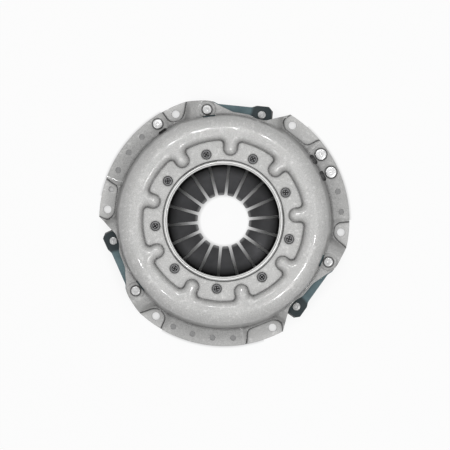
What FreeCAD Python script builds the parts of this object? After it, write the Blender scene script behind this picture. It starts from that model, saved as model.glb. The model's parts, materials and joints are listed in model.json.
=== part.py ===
import FreeCAD, Part
import math
import os
import Sketcher

# Clutch pressure plate: cover, diaphragm spring, pivot rings, rivets, drive straps
# and the sliding iron plate. Millimetres. Z = 0 is the flywheel face of the bolt pads,
# +Z points to the gearbox, and the first bolt is on +X.

doc = FreeCAD.newDocument("clutch_pressure_plate")
sizes = doc.addObject("Spreadsheet::Sheet", "sizes")
driving = {
    # Cover sheet and flange
    "sheet": 4,
    "bolt_circle_radius": 134,
    "flange_margin": 9,
    "bolt_hole_radius": 4.5,
    "spare_hole_radius": 3,
    "hole_pitch_angle": 10,
    "raised_flange_top": 7.2,
    "ramp_draft": 45,
    "raised_from_angle": 126.2,
    "raised_to_angle": 165.8,
    # Coined bolt pads: turn of each edge from the bolt's radius, and its distance from the bolt
    "pad_relief": 0.5,
    "short_pad_after_turn": -78,
    "short_pad_after": 11.5,
    "short_pad_in_turn": -24,
    "short_pad_in": 9.4,
    "short_pad_bevel_turn": 16,
    "short_pad_bevel": 9,
    "short_pad_before_turn": 55,
    "short_pad_before": 10,
    "long_pad_after_turn": -112,
    "long_pad_after": 11.5,
    "long_pad_bevel_turn": -45,
    "long_pad_bevel": 10.3,
    "long_pad_in_turn": -2,
    "long_pad_in": 8.8,
    "long_pad_before_turn": 61,
    "long_pad_before": 28.5,
    # Domed rim
    "crown_top": 44,
    "wall_inside_bolts": 10.1,
    "wall_lean": 6.8,
    "shoulder_round": 15,
    # Recessed ring with lobes
    "ring_top": 36,
    "crown_width": 25.1,
    "lobe_draft": 30,
    "rib_half_width": 7.6,
    "rib_root_depth": 11,
    "rib_gap": 7.3,
    "lobe_corner_round": 6,
    "floor_round": 2.5,
    "rib_round": 2.4,
    "ring_width": 28.6,
    "lip_width": 4.3,
    "lip_top": 39.4,
    "lip_edge_drop": 0.8,
    # Strap shelves
    "shelf_top": 23.2,
    "shelf_draft": 25,
    "shelf_foot": 56.4,
    "strap_rivet_across": 31.2,
    "strap_inside_bolts": 9.9,
    "seat_radius": 10.4,
    "seat_drop": 1,
    # Windows beside the shelves and slots at the foot of the dome
    "window_corner": 4.3,
    "window_end_margin": 7.4,
    "window_end_reach": 56.4,
    "window_middle_margin": 1.3,
    "window_bend_across": 17,
    "window_bend_inset": 0.5,
    "window_ramp_across": 63,
    "window_ramp_margin": 5.1,
    "window_mouth_far": 72.4,
    "window_mouth_near": 62.4,
    "single_slot_half_width": 5,
    "single_slot_half_depth": 1.4,
    "pair_slot_half_width": 6,
    "pair_slot_half_depth": 2.1,
    "strap_slot_angle": 103.5,
    "strap_slot_inset": 3.9,
    "strap_slot_half_width": 7.2,
    "strap_slot_half_depth": 0.9,
    # Diaphragm spring and its pivot
    "spring_thickness": 2.7,
    "spring_slope": 0.25,
    "spring_inside_wall": 4.1,
    "finger_bend_radius": 40,
    "finger_tip_radius": 29,
    "finger_tip_slope": 0.08,
    "finger_slot": 3.1,
    "keyhole_radius": 6.2,
    "pivot_ring_inside_lobes": 7.85,
    "pivot_wire_radius": 2.25,
    "pivot_wire_gap": 0.1,
    "pivot_rivet_shank": 3.6,
    "pivot_rivet_shoulder": 4.4,
    "pivot_rivet_head": 4.8,
    "pivot_rivet_head_height": 2.2,
    "pivot_rivet_collar": 8.9,
    "pivot_rivet_collar_height": 2.8,
    "star_groove_half_width": 0.45,
    "star_groove_depth": 0.7,
    # Pressure plate
    "plate_bottom": 5,
    "plate_inside_wall": 7.4,
    "plate_bore": 75,
    "plate_field_top": 12.2,
    "ridge_inside_spring": 3,
    "ridge_round": 3,
    "lug_bottom": 5.8,
    "plate_lift": 4.2,
    "plate_edge": 1,
    "lug_root_depth": 15,
    "lug_near_side": 11.2,
    "lug_far_side": 12.3,
    "lug_rim": 0.1,
    "lug_corner": 5,
    # Drive straps
    "leaf_thickness": 1,
    "leaf_end_half_width": 10,
    "leaf_waist_half_width": 7.75,
    "leaf_end_reach": 10.7,
    "leaf_end_inner": 11.6,
    "leaf_corner": 5,
    # Rivets
    "strap_rivet_shank": 3.9,
    "strap_rivet_head": 5.2,
    "strap_rivet_tail": 5.8,
    "lug_rivet_shank": 3.7,
    "lug_rivet_head": 4.6,
    "lug_rivet_tail": 5.6,
    "strap_head_height": 2.4,
    "strap_tail_height": 2.4,
    "balance_shank": 3,
    "balance_small_head": 5.5,
    "balance_large_head": 6.3,
    "balance_tail": 4.6,
    "balance_head_height": 2.6,
    "balance_tail_height": 2.4,
    "rivet_edge": 0.6,
    # Clearances
    "rivet_fit": 0.02,
    "contact_gap": 0.05,
    "strap_clearance": 0.3,
    "lift_clearance": 0.7,
    # Tools that cut past the piece
    "overlap": 0.2,
    "past": 5,
    "far_past": 20,
}
for row, (name, amount) in enumerate(driving.items(), 1):
    sizes.set("A%d" % row, name)
    sizes.set("B%d" % row, str(amount))
    sizes.setAlias("B%d" % row, name)
doc.recompute()

# Sizes that follow from the ones above
last_row = len(driving)


def derived(name, formula):
    global last_row
    last_row += 1
    sizes.set("A%d" % last_row, name)
    sizes.set("B%d" % last_row, "=" + formula)
    sizes.setAlias("B%d" % last_row, name)
    doc.recompute()


derived("flange_radius", "bolt_circle_radius + flange_margin")
derived("wall_foot_radius", "bolt_circle_radius - wall_inside_bolts")
derived("wall_top_radius", "wall_foot_radius - wall_lean")
derived("lobe_radius", "wall_top_radius - crown_width")
derived("opening_radius", "lobe_radius - ring_width")
derived("lip_outer_radius", "opening_radius + lip_width")
derived("rib_tip_radius", "lip_outer_radius + rib_gap")
derived("strap_rivet_out", "bolt_circle_radius - strap_inside_bolts")
derived("spring_outer_radius", "wall_top_radius - spring_inside_wall")
derived("pivot_ring_radius", "lobe_radius - pivot_ring_inside_lobes")
derived("pivot_rivet_circle",
        "pivot_ring_radius - pivot_wire_radius - pivot_rivet_shoulder - pivot_wire_gap")
derived("plate_radius", "wall_foot_radius - plate_inside_wall")
derived("ridge_radius", "spring_outer_radius - ridge_inside_spring")
derived("raised_flange_under", "raised_flange_top - sheet")
derived("ramp_inset_angle", "sheet * tan(22.5) / bolt_circle_radius * 57.2958")
derived("wall_slope", "wall_lean / (crown_top - sheet)")
derived("wall_across", "sheet * sqrt(1 + wall_slope * wall_slope)")
derived("ring_under", "ring_top - sheet")
derived("crown_under", "crown_top - sheet")
derived("lobe_inset", "sheet * tan(45 - lobe_draft / 2)")
derived("shelf_under", "shelf_top - sheet")
derived("shelf_inset", "sheet * tan(45 - shelf_draft / 2)")
derived("shelf_top_half", "shelf_foot - (shelf_top - sheet) * tan(shelf_draft)")
derived("seat_under", "shelf_under - seat_drop")
derived("seat_top", "shelf_top - seat_drop")
derived("lobe_slant", "(crown_top - ring_top) / cos(lobe_draft)")
derived("spring_across", "spring_thickness * sqrt(1 + spring_slope * spring_slope)")
derived("wire_offset",
        "(spring_thickness / 2 + pivot_wire_radius) * sqrt(1 + spring_slope * spring_slope)")
derived("pivot_height", "ring_under - pivot_wire_radius - wire_offset")
derived("spring_rim_height",
        "pivot_height - (spring_outer_radius - pivot_ring_radius) * spring_slope")
derived("spring_bend_height",
        "pivot_height + (pivot_ring_radius - finger_bend_radius) * spring_slope")
derived("spring_tip_height",
        "spring_bend_height + (finger_bend_radius - finger_tip_radius) * finger_tip_slope")
derived("upper_wire_height", "pivot_height + wire_offset")
derived("lower_wire_height", "pivot_height - wire_offset")
derived("collar_top", "lower_wire_height - pivot_wire_radius")
derived("ridge_centre_height",
        "pivot_height - (ridge_radius - pivot_ring_radius) * spring_slope"
        " - (spring_thickness / 2 + ridge_round) * sqrt(1 + spring_slope * spring_slope) - contact_gap")
derived("ridge_top", "ridge_centre_height + ridge_round")
derived("pack_thickness", "3 * leaf_thickness")
derived("pack_cover_top", "seat_under")
derived("pack_lug_top", "seat_under - plate_lift")
derived("lug_top", "pack_lug_top - pack_thickness")
derived("lug_from", "strap_rivet_across - lug_near_side")
derived("lug_to", "strap_rivet_across + lug_far_side")
derived("lug_reach", "strap_rivet_out + leaf_end_half_width + lug_rim")
derived("window_leaf_edge", "strap_rivet_out + leaf_end_half_width + strap_clearance")
derived("window_waist_edge", "strap_rivet_out + leaf_waist_half_width + strap_clearance")
derived("window_lug_edge", "strap_rivet_out - lug_rivet_head - lift_clearance")


def value(formula):
    return float(sizes.evalExpression(formula.replace("sizes.", "")))


def plane_of(body, role):
    for feature in body.Origin.OriginFeatures:
        if feature.Role == role:
            return feature
    return None


def new_body(label):
    body = doc.addObject("PartDesign::Body", label)
    body.Label = label
    return body


def new_sketch(body, name, role, shift):
    sketch = body.newObject("Sketcher::SketchObject", name)
    sketch.AttachmentSupport = [(plane_of(body, role), "")]
    sketch.MapMode = "FlatFace"
    if shift:
        sketch.setExpression("AttachmentOffset.Base.z", shift)
    return sketch


def point_of(sketch, across, up):
    return FreeCAD.Vector(float(sketch.evalExpression(across)), float(sketch.evalExpression(up)), 0)


def fix_point(sketch, geometry, point, across, up):
    for kind, formula in (("DistanceX", across), ("DistanceY", up)):
        at = sketch.evalExpression(formula)
        index = sketch.addConstraint(Sketcher.Constraint(kind, -1, 1, geometry, point, float(at)))
        sketch.setExpression("Constraints[%d]" % index, formula)


def polygon(sketch, corners):
    spots = []
    for across, up in corners:
        spots.append(point_of(sketch, across, up))
    first = sketch.GeometryCount
    count = len(spots)
    for i in range(count):
        sketch.addGeometry(Part.LineSegment(spots[i], spots[(i + 1) % count]), False)
    for i in range(count):
        following = first + (i + 1) % count
        sketch.addConstraint(Sketcher.Constraint("Coincident", first + i, 2, following, 1))
    for i in range(count):
        fix_point(sketch, first + i, 1, corners[i][0], corners[i][1])


def circle(sketch, across, up, radius):
    centre = point_of(sketch, across, up)
    size_now = float(sketch.evalExpression(radius))
    number = sketch.addGeometry(Part.Circle(centre, FreeCAD.Vector(0, 0, 1), size_now), False)
    index = sketch.addConstraint(Sketcher.Constraint("Radius", number, size_now))
    sketch.setExpression("Constraints[%d]" % index, radius)
    fix_point(sketch, number, 3, across, up)


def revolve(body, name, sketch):
    feature = body.newObject("PartDesign::Revolution", name)
    feature.Profile = sketch
    feature.ReferenceAxis = (sketch, ["V_Axis"])
    feature.Angle = 360
    sketch.Visibility = False
    return feature


def raise_pad(body, name, sketch, length, backwards, draft=None):
    feature = body.newObject("PartDesign::Pad", name)
    feature.Profile = sketch
    feature.setExpression("Length", length)
    feature.Reversed = backwards
    if draft:
        feature.setExpression("TaperAngle", draft)
    body.Tip = feature
    return feature


def cut_pocket(body, name, sketch, length, backwards, draft=None):
    feature = body.newObject("PartDesign::Pocket", name)
    feature.Profile = sketch
    feature.setExpression("Length", length)
    feature.Reversed = backwards
    if draft:
        feature.setExpression("TaperAngle", draft)
    body.Tip = feature
    return feature


def around(body, name, original, count):
    feature = body.newObject("PartDesign::PolarPattern", name)
    feature.Originals = [original]
    feature.Axis = (plane_of(body, "Z_Axis"), [""])
    feature.Angle = 360
    feature.Occurrences = count
    body.Tip = feature
    return feature


def round_edges(body, name, base, radius, wanted):
    doc.recompute()
    chosen = []
    for number, edge in enumerate(base.Shape.Edges, 1):
        if wanted(edge):
            chosen.append("Edge%d" % number)
    feature = body.newObject("PartDesign::Fillet", name)
    feature.Base = (base, chosen)
    feature.setExpression("Radius", radius)
    body.Tip = feature
    return feature


def polar(angle, radius):
    return ("cos(%s) * (%s)" % (angle, radius), "sin(%s) * (%s)" % (angle, radius))


def mean_radius(edge):
    middle = edge.valueAt((edge.FirstParameter + edge.LastParameter) / 2)
    return (middle.x ** 2 + middle.y ** 2) ** 0.5


def at_height(edge, height):
    box = edge.BoundBox
    return abs(box.ZMin - height) < 0.01 and abs(box.ZMax - height) < 0.01


# Cover, outer form: everything below the outer skin of the sheet
outer = new_body("outer_form")
rim = new_sketch(outer, "outer_rim_profile", "XZ_Plane", None)
polygon(rim, [
    ("0 * 1", "0 * 1"),
    ("sizes.flange_radius", "0 * 1"),
    ("sizes.flange_radius", "sizes.sheet"),
    ("sizes.wall_foot_radius", "sizes.sheet"),
    ("sizes.wall_top_radius", "sizes.crown_top"),
    ("0 * 1", "sizes.crown_top"),
])
outer_rim = revolve(outer, "outer_rim", rim)
round_edges(outer, "shoulder_fillet", outer_rim, "sizes.shoulder_round",
            lambda e: at_height(e, value("crown_top")) and mean_radius(e) > value("lobe_radius"))


def rib_section(sketch, inset):
    half = "(sizes.rib_half_width - " + inset + ")"
    centre = "sizes.rib_tip_radius + " + inset + " + " + half
    root = "sizes.lobe_radius + sizes.rib_root_depth"
    width = float(sketch.evalExpression(half))
    start = FreeCAD.Vector(float(sketch.evalExpression(centre)), 0, 0)
    end = float(sketch.evalExpression(root))
    round_tip = Part.Circle(start, FreeCAD.Vector(0, 0, 1), width)
    tip = sketch.addGeometry(Part.ArcOfCircle(round_tip, math.pi / 2, math.pi * 1.5), False)
    corners = [FreeCAD.Vector(start.x, -width, 0), FreeCAD.Vector(end, -width, 0),
               FreeCAD.Vector(end, width, 0), FreeCAD.Vector(start.x, width, 0)]
    low = sketch.addGeometry(Part.LineSegment(corners[0], corners[1]), False)
    back = sketch.addGeometry(Part.LineSegment(corners[1], corners[2]), False)
    high = sketch.addGeometry(Part.LineSegment(corners[2], corners[3]), False)
    sketch.addConstraint(Sketcher.Constraint("Tangent", tip, 2, low, 1))
    sketch.addConstraint(Sketcher.Constraint("Coincident", low, 2, back, 1))
    sketch.addConstraint(Sketcher.Constraint("Coincident", back, 2, high, 1))
    sketch.addConstraint(Sketcher.Constraint("Tangent", high, 2, tip, 1))
    fix_point(sketch, tip, 3, centre, "0 * 1")
    fix_point(sketch, back, 1, root, "-1 * " + half)
    fix_point(sketch, back, 2, root, half)


def lobe_recess(body, prefix, below, inset):
    """Ring of nine lobes: a round sloped recess with nine ribs put back into it."""
    depth = "(sizes.crown_top - sizes.ring_top)"
    slide = depth + " * tan(sizes.lobe_draft)"
    disc = new_sketch(body, prefix + "_recess_circle", "XY_Plane", "sizes." + below)
    circle(disc, "0 * 1", "0 * 1", "sizes.lobe_radius + " + inset)
    cut_pocket(body, prefix + "_recess", disc, depth, True, "sizes.lobe_draft")
    foot = new_sketch(body, prefix + "_rib_foot", "XY_Plane", "sizes." + below)
    foot.setExpression("AttachmentOffset.Rotation.Angle", "sizes.hole_pitch_angle * 1 deg")
    rib_section(foot, inset)
    crest = new_sketch(body, prefix + "_rib_crest", "XY_Plane", "sizes." + below + " + " + depth)
    crest.setExpression("AttachmentOffset.Rotation.Angle", "sizes.hole_pitch_angle * 1 deg")
    rib_section(crest, "(" + inset + " + " + slide + ")")
    rib = body.newObject("PartDesign::AdditiveLoft", prefix + "_rib")
    rib.Profile = foot
    rib.Sections = [crest]
    rib.Ruled = True
    around(body, prefix + "_ribs", rib, 9)


def is_lobe_corner(edge, floor, wall_radius):
    """True for the slanted edges where a rib's side meets the wall of the recess."""
    box = edge.BoundBox
    steep = box.ZLength > value("(crown_top - ring_top) / 2") and box.ZMin > floor - 1
    beside_wall = wall_radius < mean_radius(edge) < wall_radius + value("rib_root_depth")
    return steep and beside_wall and edge.Length > value("lobe_slant") + 0.2


def soften(name, base, radius, wanted):
    """Fillet on the edges of a finished shape that a test picks out."""
    doc.recompute()
    feature = doc.addObject("Part::Fillet", name)
    feature.Base = base
    amount = value(radius)
    chosen = []
    for number, edge in enumerate(base.Shape.Edges, 1):
        if wanted(edge):
            chosen.append((number, amount, amount))
    feature.Edges = chosen
    base.Visibility = False
    return feature


def arcs_and_shelves(body, prefix, inset_angle, raised, shelf_height, shelf_half, shelf_low):
    """Raised flange arcs and strap shelves, three of each, added to a form."""
    arc = new_sketch(body, prefix + "_raised_plan", "XY_Plane", "sizes." + raised)
    start = "(sizes.raised_from_angle + " + inset_angle + ")"
    end = "(sizes.raised_to_angle - " + inset_angle + ")"
    far = "sizes.flange_radius + sizes.far_past"
    inside = "sizes.lobe_radius"
    polygon(arc, [polar(start, inside), polar(start, far), polar(end, far), polar(end, inside)])
    raised_arc = raise_pad(body, prefix + "_raised", arc, "sizes.sheet + sizes.overlap", True,
                           "sizes.ramp_draft")
    around(body, prefix + "_raised_arcs", raised_arc, 3)
    station = new_sketch(body, prefix + "_shelf_profile", "XZ_Plane", "-1 * sizes.opening_radius")
    rise = "(" + shelf_height + " - (" + shelf_low + "))"
    foot = "(" + shelf_half + " + " + rise + " * tan(sizes.shelf_draft))"
    polygon(station, [("-1 * " + foot, shelf_low), ("-1 * " + shelf_half, shelf_height),
                      (shelf_half, shelf_height), (foot, shelf_low)])
    shelf = raise_pad(body, prefix + "_shelf", station, "sizes.flange_radius", True)
    around(body, prefix + "_shelves", shelf, 3)


lobe_recess(outer, "outer", "ring_top", "0 * 1")
lip_plan = new_sketch(outer, "lip_plan", "XY_Plane", "sizes.ring_top")
circle(lip_plan, "0 * 1", "0 * 1", "sizes.lip_outer_radius")
raise_pad(outer, "lip", lip_plan, "sizes.lip_top - sizes.ring_top", False)
arcs_and_shelves(outer, "outer", "0 * 1", "raised_flange_top",
                 "sizes.shelf_top", "sizes.shelf_top_half", "sizes.sheet")
outer_corners = soften("outer_lobe_corners", outer, "lobe_corner_round",
                       lambda e: is_lobe_corner(e, value("ring_top"), value("lobe_radius")))
outer_floor = soften("outer_floor_fillet", outer_corners, "floor_round",
                     lambda e: at_height(e, value("ring_top"))
                     and mean_radius(e) > value("lip_outer_radius + 1"))
outer_crest = soften("outer_crest_fillet", outer_floor, "rib_round",
                     lambda e: at_height(e, value("crown_top"))
                     and mean_radius(e) < value("lobe_radius + rib_root_depth"))

# Cover, inner form: everything below the underside of the sheet
inner = new_body("inner_form")
cavity = new_sketch(inner, "cavity_profile", "XZ_Plane", None)
inner_foot = "(sizes.wall_foot_radius - sizes.wall_across)"
polygon(cavity, [
    ("0 * 1", "-1 * sizes.sheet"),
    (inner_foot + " + sizes.wall_slope * 2 * sizes.sheet", "-1 * sizes.sheet"),
    (inner_foot + " - sizes.wall_slope * (sizes.crown_under - sizes.sheet)", "sizes.crown_under"),
    ("0 * 1", "sizes.crown_under"),
])
inner_rim = revolve(inner, "inner_rim", cavity)
round_edges(inner, "inner_shoulder", inner_rim, "sizes.shoulder_round - sizes.sheet",
            lambda e: at_height(e, value("crown_under")) and mean_radius(e) > value("lobe_radius"))
lobe_recess(inner, "inner", "ring_under", "sizes.lobe_inset")
lip_bend = new_sketch(inner, "lip_bend_profile", "XZ_Plane", None)
polygon(lip_bend, [
    ("sizes.opening_radius - sizes.sheet", "sizes.ring_under - sizes.sheet"),
    ("sizes.lip_outer_radius + sizes.sheet / 2", "sizes.ring_under - sizes.sheet"),
    ("sizes.lip_outer_radius + sizes.sheet / 2", "sizes.ring_under"),
    ("sizes.opening_radius - sizes.sheet", "sizes.lip_top - sizes.lip_edge_drop"),
])
revolve(inner, "lip_bend", lip_bend)
arcs_and_shelves(inner, "inner", "sizes.ramp_inset_angle", "raised_flange_under",
                 "sizes.shelf_under", "(sizes.shelf_top_half - sizes.shelf_inset)", "-1 * sizes.sheet")
inner_wall = value("lobe_radius + lobe_inset - 1")
inner_corners = soften("inner_lobe_corners", inner, "lobe_corner_round",
                       lambda e: is_lobe_corner(e, value("ring_under"), inner_wall))

sheet_form = doc.addObject("Part::Cut", "sheet_form")
sheet_form.Base = outer_crest
sheet_form.Tool = inner_corners

# Cover: the sheet trimmed to its outline, with its holes
cover = new_body("cover_shell")
cover.BaseFeature = sheet_form
doc.recompute()
rim_trim = new_sketch(cover, "flange_trim", "XY_Plane", "-1 * sizes.sheet")
circle(rim_trim, "0 * 1", "0 * 1", "sizes.flange_radius")
circle(rim_trim, "0 * 1", "0 * 1", "sizes.flange_radius * 2")
tall = "sizes.crown_top + 4 * sizes.sheet"
cut_pocket(cover, "flange_outline", rim_trim, tall, True)
mouth = new_sketch(cover, "opening_plan", "XY_Plane", "-1 * sizes.sheet")
circle(mouth, "0 * 1", "0 * 1", "sizes.opening_radius")
cut_pocket(cover, "opening", mouth, tall, True)
window = new_sketch(cover, "window_outline", "XY_Plane", "-1 * sizes.sheet")
polygon(window, [
    ("-1 * sizes.window_end_reach", "sizes.strap_rivet_out + sizes.window_end_margin"),
    ("-1 * sizes.strap_rivet_across - sizes.window_corner", "sizes.window_leaf_edge"),
    ("-1 * sizes.strap_rivet_across + sizes.window_corner", "sizes.window_leaf_edge"),
    ("-1 * sizes.strap_rivet_across + sizes.leaf_end_inner", "sizes.window_waist_edge"),
    ("0 * 1", "sizes.wall_foot_radius + sizes.window_middle_margin"),
    ("sizes.window_bend_across", "sizes.wall_foot_radius - sizes.window_bend_inset"),
    ("sizes.strap_rivet_across - sizes.lug_rivet_head", "sizes.window_lug_edge"),
    ("sizes.strap_rivet_across + sizes.lug_rivet_head", "sizes.window_lug_edge"),
    ("sizes.window_ramp_across", "sizes.wall_foot_radius + sizes.window_ramp_margin"),
    ("sizes.window_mouth_far", "sizes.flange_radius + sizes.far_past"),
    ("-1 * sizes.window_mouth_near", "sizes.flange_radius + sizes.far_past"),
])
window_cut = cut_pocket(cover, "window", window, tall, True)
around(cover, "windows", window_cut, 3)


def pad_edge(name, bolt_angle):
    """Angle of an edge's inward normal and the edge's distance from the clutch axis."""
    turn = "sizes." + name + "_turn"
    angle = "(%s + %s)" % (bolt_angle, turn)
    offset = "(sizes.bolt_circle_radius * cos(%s) - sizes.%s)" % (turn, name)
    return angle, offset


def pad_corner(first, second):
    """Point where two pad edges cross."""
    (a, p), (b, q) = first, second
    span = "sin(%s - %s)" % (b, a)
    return ("(%s * sin(%s) - %s * sin(%s)) / %s" % (p, b, q, a, span),
            "(%s * cos(%s) - %s * cos(%s)) / %s" % (q, a, p, b, span))


def pad_mouth(edge, sign):
    """Point of a pad edge well outside the flange."""
    angle, offset = edge
    far = "sizes.flange_radius * %d" % sign
    return ("%s * cos(%s) - %s * sin(%s)" % (offset, angle, far, angle),
            "%s * sin(%s) + %s * cos(%s)" % (offset, angle, far, angle))


def bolt_pad(prefix, bolt_angle, names):
    """Flat coined into the flange round a bolt hole, three of each kind."""
    edges = [pad_edge(prefix + name, bolt_angle) for name in names]
    corners = [pad_corner(one, other) for one, other in zip(edges, edges[1:])]
    plan = new_sketch(cover, prefix + "plan", "XY_Plane", "sizes.sheet - sizes.pad_relief")
    polygon(plan, [pad_mouth(edges[0], 1)] + corners + [pad_mouth(edges[-1], -1)])
    pad = cut_pocket(cover, prefix + "face", plan, "sizes.sheet", True)
    around(cover, prefix + "faces", pad, 3)


bolt_pad("short_pad_", "(12 * sizes.hole_pitch_angle)", ("after", "in", "bevel", "before"))
bolt_pad("long_pad_", "(6 * sizes.hole_pitch_angle)", ("after", "bevel", "in", "before"))
seat_plan = new_sketch(cover, "seat_plan", "XY_Plane", "sizes.seat_under")
circle(seat_plan, "-1 * sizes.strap_rivet_across", "sizes.strap_rivet_out", "sizes.seat_radius")
seat = raise_pad(cover, "seat", seat_plan, "sizes.seat_drop", False)
around(cover, "seats", seat, 3)
spot_plan = new_sketch(cover, "seat_top_plan", "XY_Plane", "sizes.seat_top")
circle(spot_plan, "-1 * sizes.strap_rivet_across", "sizes.strap_rivet_out",
       "sizes.seat_radius - sizes.seat_drop")
spot_cut = cut_pocket(cover, "seat_top_cut", spot_plan, "sizes.seat_drop", True)
around(cover, "seat_tops", spot_cut, 3)


def ring_of_holes(name, spots, radius, count):
    plan = new_sketch(cover, name + "_plan", "XY_Plane", "-1 * sizes.sheet")
    for across, up in spots:
        circle(plan, across, up, radius)
    holes = cut_pocket(cover, name, plan, tall, True)
    if count > 1:
        around(cover, name + "_ring", holes, count)


def flange_spot(steps):
    return polar("(%d * sizes.hole_pitch_angle)" % steps, "sizes.bolt_circle_radius")


ring_of_holes("bolt_holes", [flange_spot(0)], "sizes.bolt_hole_radius", 6)
ring_of_holes("pivot_holes", [polar("(3 * sizes.hole_pitch_angle)", "sizes.pivot_rivet_circle")],
              "sizes.pivot_rivet_shank + sizes.rivet_fit", 9)
ring_of_holes("strap_holes", [("-1 * sizes.strap_rivet_across", "sizes.strap_rivet_out")],
              "sizes.strap_rivet_shank + sizes.rivet_fit", 3)
spare = [flange_spot(steps) for steps in (1, 2, 14, 15, 16, 17, 25, 26, 27, 28)]
ring_of_holes("spare_holes", spare, "sizes.spare_hole_radius", 1)
balance_steps = (13, 3, 4)
ring_of_holes("balance_holes", [flange_spot(steps) for steps in balance_steps],
              "sizes.balance_shank + sizes.rivet_fit", 1)


def foot_slot(name, angle, radius, half_width, half_depth):
    """Slot through the foot of the dome."""
    plan = new_sketch(cover, name + "_plan", "XY_Plane", "-1 * sizes.sheet")
    plan.setExpression("AttachmentOffset.Rotation.Angle", angle + " * 1 deg")
    inner_edge = radius + " - " + half_depth
    outer_edge = radius + " + " + half_depth
    polygon(plan, [(inner_edge, "-1 * " + half_width), (outer_edge, "-1 * " + half_width),
                   (outer_edge, half_width), (inner_edge, half_width)])
    return cut_pocket(cover, name, plan, "sizes.crown_top - 2 * sizes.sheet", True)


foot = "sizes.wall_foot_radius"
foot_slot("single_slot", "%d * sizes.hole_pitch_angle" % balance_steps[0], foot,
          "sizes.single_slot_half_width", "sizes.single_slot_half_depth")
for steps in balance_steps[1:]:
    foot_slot("pair_slot_%d" % steps, "%d * sizes.hole_pitch_angle" % steps, foot,
              "sizes.pair_slot_half_width", "sizes.pair_slot_half_depth")
strap_slot = foot_slot("strap_slot", "sizes.strap_slot_angle", foot + " - sizes.strap_slot_inset",
                       "sizes.strap_slot_half_width", "sizes.strap_slot_half_depth")
around(cover, "strap_slots", strap_slot, 3)
parts = [cover]


# Pivot rings: round wire above and below the diaphragm spring
def wire_ring(label, height):
    ring = doc.addObject("Part::Torus", label)
    ring.Label = label
    ring.setExpression("Radius1", "sizes.pivot_ring_radius")
    ring.setExpression("Radius2", "sizes.pivot_wire_radius")
    ring.setExpression("Placement.Base.z", height)
    parts.append(ring)


wire_ring("upper_pivot_ring", "sizes.upper_wire_height")
wire_ring("lower_pivot_ring", "sizes.lower_wire_height")

# Diaphragm spring: a shallow cone, slotted into eighteen fingers
spring = new_body("diaphragm_spring")
cone = new_sketch(spring, "spring_profile", "XZ_Plane", None)
half_up = " + sizes.spring_across / 2"
half_down = " - sizes.spring_across / 2"
polygon(cone, [
    ("sizes.finger_tip_radius", "sizes.spring_tip_height" + half_down),
    ("sizes.finger_bend_radius", "sizes.spring_bend_height" + half_down),
    ("sizes.spring_outer_radius", "sizes.spring_rim_height" + half_down),
    ("sizes.spring_outer_radius", "sizes.spring_rim_height" + half_up),
    ("sizes.finger_bend_radius", "sizes.spring_bend_height" + half_up),
    ("sizes.finger_tip_radius", "sizes.spring_tip_height" + half_up),
])
revolve(spring, "spring_cone", cone)
slot_plan = new_sketch(spring, "slot_plan", "XY_Plane", None)
slot_plan.setExpression("AttachmentOffset.Rotation.Angle", "sizes.hole_pitch_angle * 1 deg")
polygon(slot_plan, [("sizes.finger_tip_radius - sizes.past", "-1 * sizes.finger_slot / 2"),
                    ("sizes.pivot_rivet_circle", "-1 * sizes.finger_slot / 2"),
                    ("sizes.pivot_rivet_circle", "sizes.finger_slot / 2"),
                    ("sizes.finger_tip_radius - sizes.past", "sizes.finger_slot / 2")])
slot = cut_pocket(spring, "slot", slot_plan, "sizes.crown_top + sizes.sheet", True)
around(spring, "slots", slot, 18)
key_plan = new_sketch(spring, "keyhole_plan", "XY_Plane", None)
key_plan.setExpression("AttachmentOffset.Rotation.Angle", "sizes.hole_pitch_angle * 1 deg")
circle(key_plan, "sizes.pivot_rivet_circle", "0 * 1", "sizes.keyhole_radius")
key = cut_pocket(spring, "keyhole", key_plan, "sizes.crown_top + sizes.sheet", True)
spring.Tip = around(spring, "keyholes", key, 18)
parts.append(spring)


def rivet(label, shank, head, head_base, head_height, tail, tail_base, tail_height, across, up, turn):
    """Rivet along Z: a domed head on top, a shank, and a flat tail below."""
    body = new_body(label)
    profile = new_sketch(body, label + "_profile", "XZ_Plane", None)
    polygon(profile, [
        ("0 * 1", tail_base + " - " + tail_height),
        (tail + " - sizes.rivet_edge", tail_base + " - " + tail_height),
        (tail, tail_base + " - " + tail_height + " + sizes.rivet_edge"),
        (tail, tail_base),
        (shank, tail_base),
        (shank, head_base),
        (head, head_base),
        (head, head_base + " + " + head_height + " * 0.4"),
        (head + " * 0.8", head_base + " + " + head_height + " * 0.85"),
        (head + " * 0.5", head_base + " + " + head_height),
        ("0 * 1", head_base + " + " + head_height),
    ])
    revolve(body, label + "_turned", profile)
    body.setExpression("Placement.Base.x", "cos(%s) * (%s) - sin(%s) * (%s)" % (turn, across, turn, up))
    body.setExpression("Placement.Base.y", "sin(%s) * (%s) + cos(%s) * (%s)" % (turn, across, turn, up))
    parts.append(body)
    return body


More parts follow.
